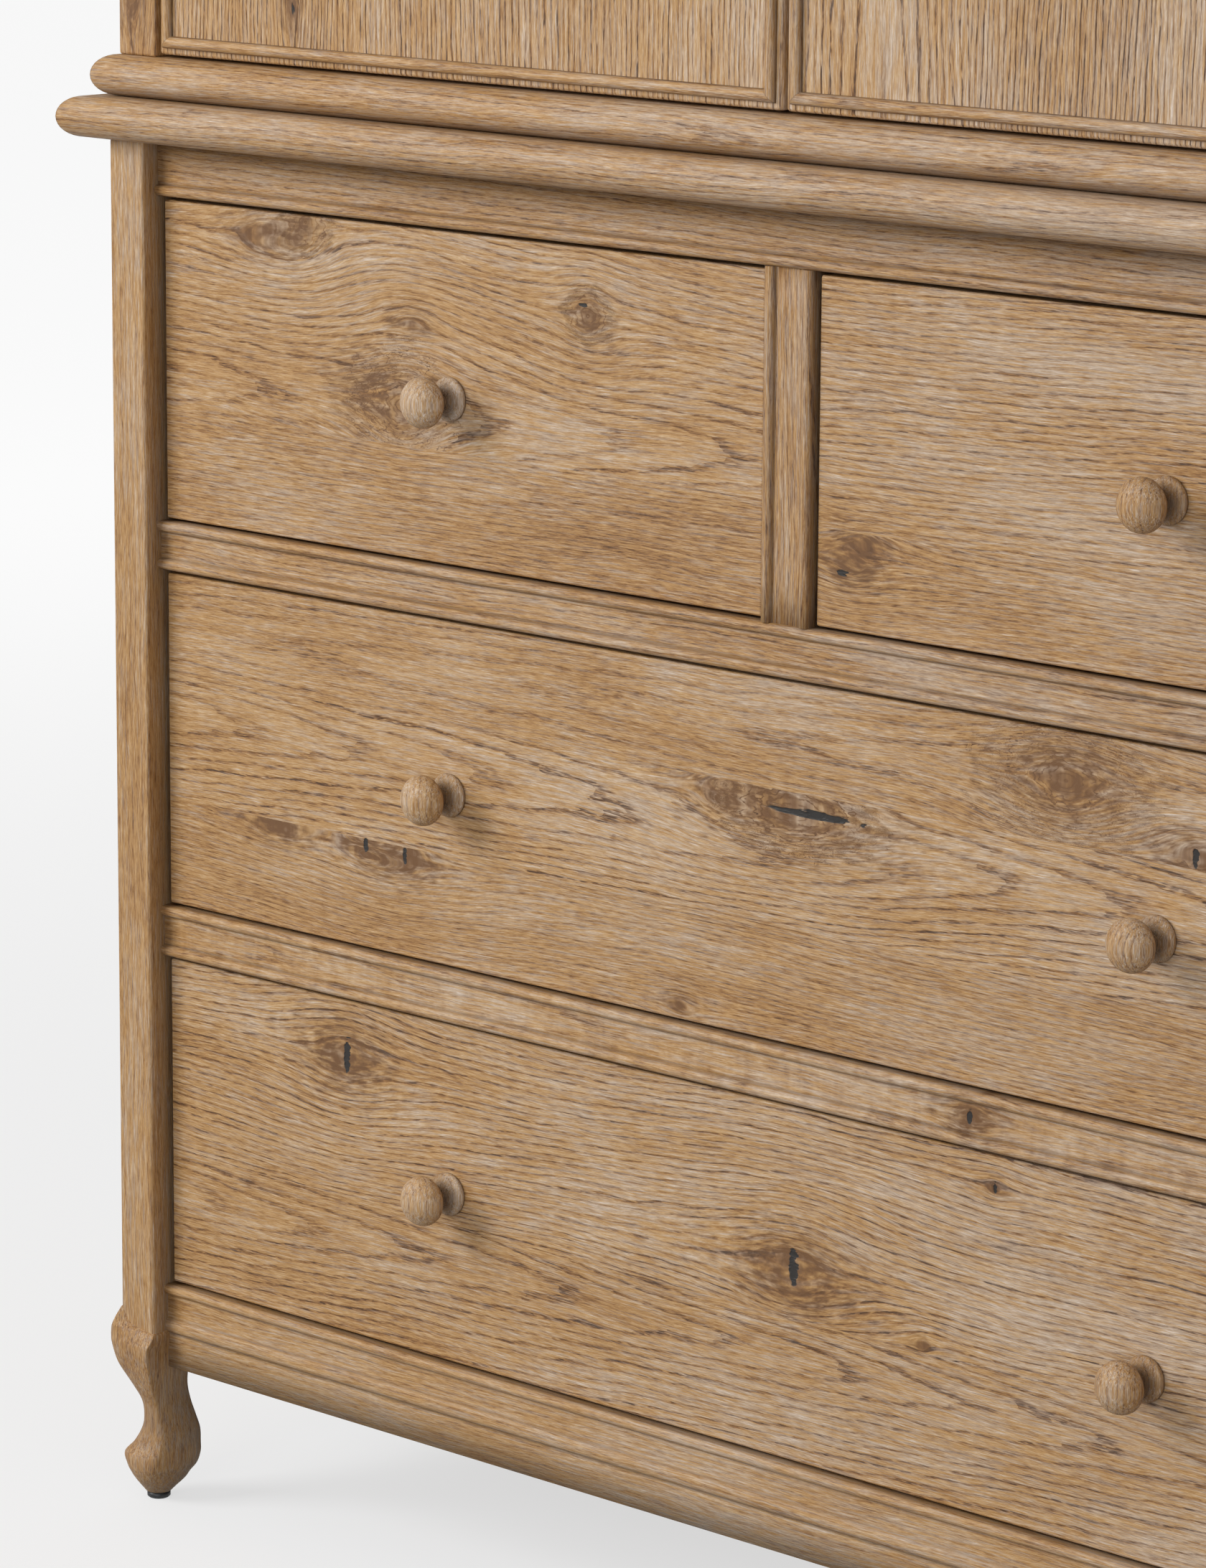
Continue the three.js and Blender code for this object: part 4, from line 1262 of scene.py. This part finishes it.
WORLD_BELOW = 0.05  # the sky's strength from below and from above
WORLD_ABOVE = 0.40
WORLD_SEEN = 0.90  # how bright the sky itself looks beyond the floor's far edge
FLOOR_GLOW_NEAR = 0.63
FLOOR_GLOW_FAR = 0.815
FLOOR_ALBEDO = 0.3
FLOOR_HALF = 60.0
GLOW_FROM, GLOW_TO = 1.0, 5.0  # the distances, in metres, between which the floor's glow grows; the dimmer floor near the armoire is a painted shadow


def stage():
    """A pale floor. Diffuse rays pass it by, so that its glow doesn't light the wood from below."""
    mesh = bpy.data.meshes.new("studio_floor")
    corners = [(x * FLOOR_HALF, y * FLOOR_HALF, 0) for x, y in ((-1, -1), (1, -1), (1, 1), (-1, 1))]
    mesh.from_pydata(corners, [], [(0, 1, 2, 3)])
    floor = new_object("studio_floor", mesh)
    floor.visible_diffuse = False
    material, tree, shader = new_material("pale_floor")
    x, y, _ = point_place(tree)
    far = (x * x + y * y).sqrt()
    # The floor glows less near the armoire: a painted shadow round it.
    glow = FLOOR_GLOW_NEAR + far.step(GLOW_FROM, GLOW_TO) * (FLOOR_GLOW_FAR - FLOOR_GLOW_NEAR)
    fill(tree, shader, {"Base Color": (FLOOR_ALBEDO,) * 3, "Roughness": 0.9, "Specular IOR Level": 0.0,
                        "Emission Color": (1.0, 1.0, 1.0), "Emission Strength": glow})
    mesh.materials.append(material)


def area_light(name, at, target, size, power, colour=(1, 1, 1)):
    data = bpy.data.lights.new(name, "AREA")
    data.shape = "RECTANGLE"
    data.size, data.size_y = size
    data.energy = power
    data.color = colour
    light = new_object(name, data)
    light.location = at
    light.rotation_euler = (Vector(target) - Vector(at)).to_track_quat("-Z", "Y").to_euler()
    return light


def light_studio():
    world = bpy.data.worlds.new("studio")
    world.use_nodes = True
    tree = world.node_tree
    height = point_place(tree, "Generated")[2]
    light = lerp(WORLD_BELOW, WORLD_ABOVE, height.step(-0.5, 0.5))
    seen = Field(tree, new_node(tree, "LightPath").outputs["Is Camera Ray"])
    strength = light * (1.0 - seen) + seen * WORLD_SEEN
    fill(tree, tree.nodes["Background"], {"Color": (1.0, 1.0, 1.0), "Strength": strength})
    bpy.context.scene.world = world
    area_light("key", (-3.2, -3.6, 2.8), (-0.1, -0.2, 0.9), (2.4, 2.4), 168)
    area_light("front_fill", (1.4, -4.6, 1.3), (0.4, -0.2, 0.9), (2.6, 2.6), 92, (0.96, 0.98, 1.0))
    bpy.context.scene.view_settings.view_transform = "Standard"


def light_from_behind():
    """Soft lights on the armoire's back, top and right side, kept off the floor, where they'd show."""
    lit = bpy.data.collections.new("lit_from_behind")
    for obj in bpy.context.scene.objects:
        if obj.type == "MESH" and obj.name != "studio_floor":
            lit.objects.link(obj)
    back = area_light("back", (0.3, 3.8, 3.9), (0.0, 0.2, 1.2), (3.0, 3.0), 110)
    right = area_light("right", (4.0, 1.5, 1.6), (0.6, 0.0, 1.1), (2.5, 2.5), 55)
    for light in (back, right):
        light.light_linking.receiver_collection = lit


def camera():
    data = bpy.data.cameras.new("photo_view")
    data.lens = CAMERA_LENS
    data.sensor_fit = "VERTICAL"
    data.sensor_height = CAMERA_SENSOR
    data.sensor_width = CAMERA_SENSOR
    data.clip_end = 200.0
    view = new_object("photo_view", data)
    place = Matrix.Translation(Vector(CAMERA_AT) * MM)
    for angle, axis in ((CAMERA_YAW, "Z"), (math.pi / 2 - CAMERA_PITCH, "X"), (CAMERA_ROLL, "Z")):
        place = place @ Matrix.Rotation(angle, 4, axis)
    view.matrix_world = place
    bpy.context.scene.camera = view


camera()
light_studio()
stage()
rails()
divider()
boards()
lower_posts()
legs()
drawers()
doors()
upper_case()
lower_sides()
backs()
runner_panels()
shelf_and_rod()
door_catch()
light_from_behind()
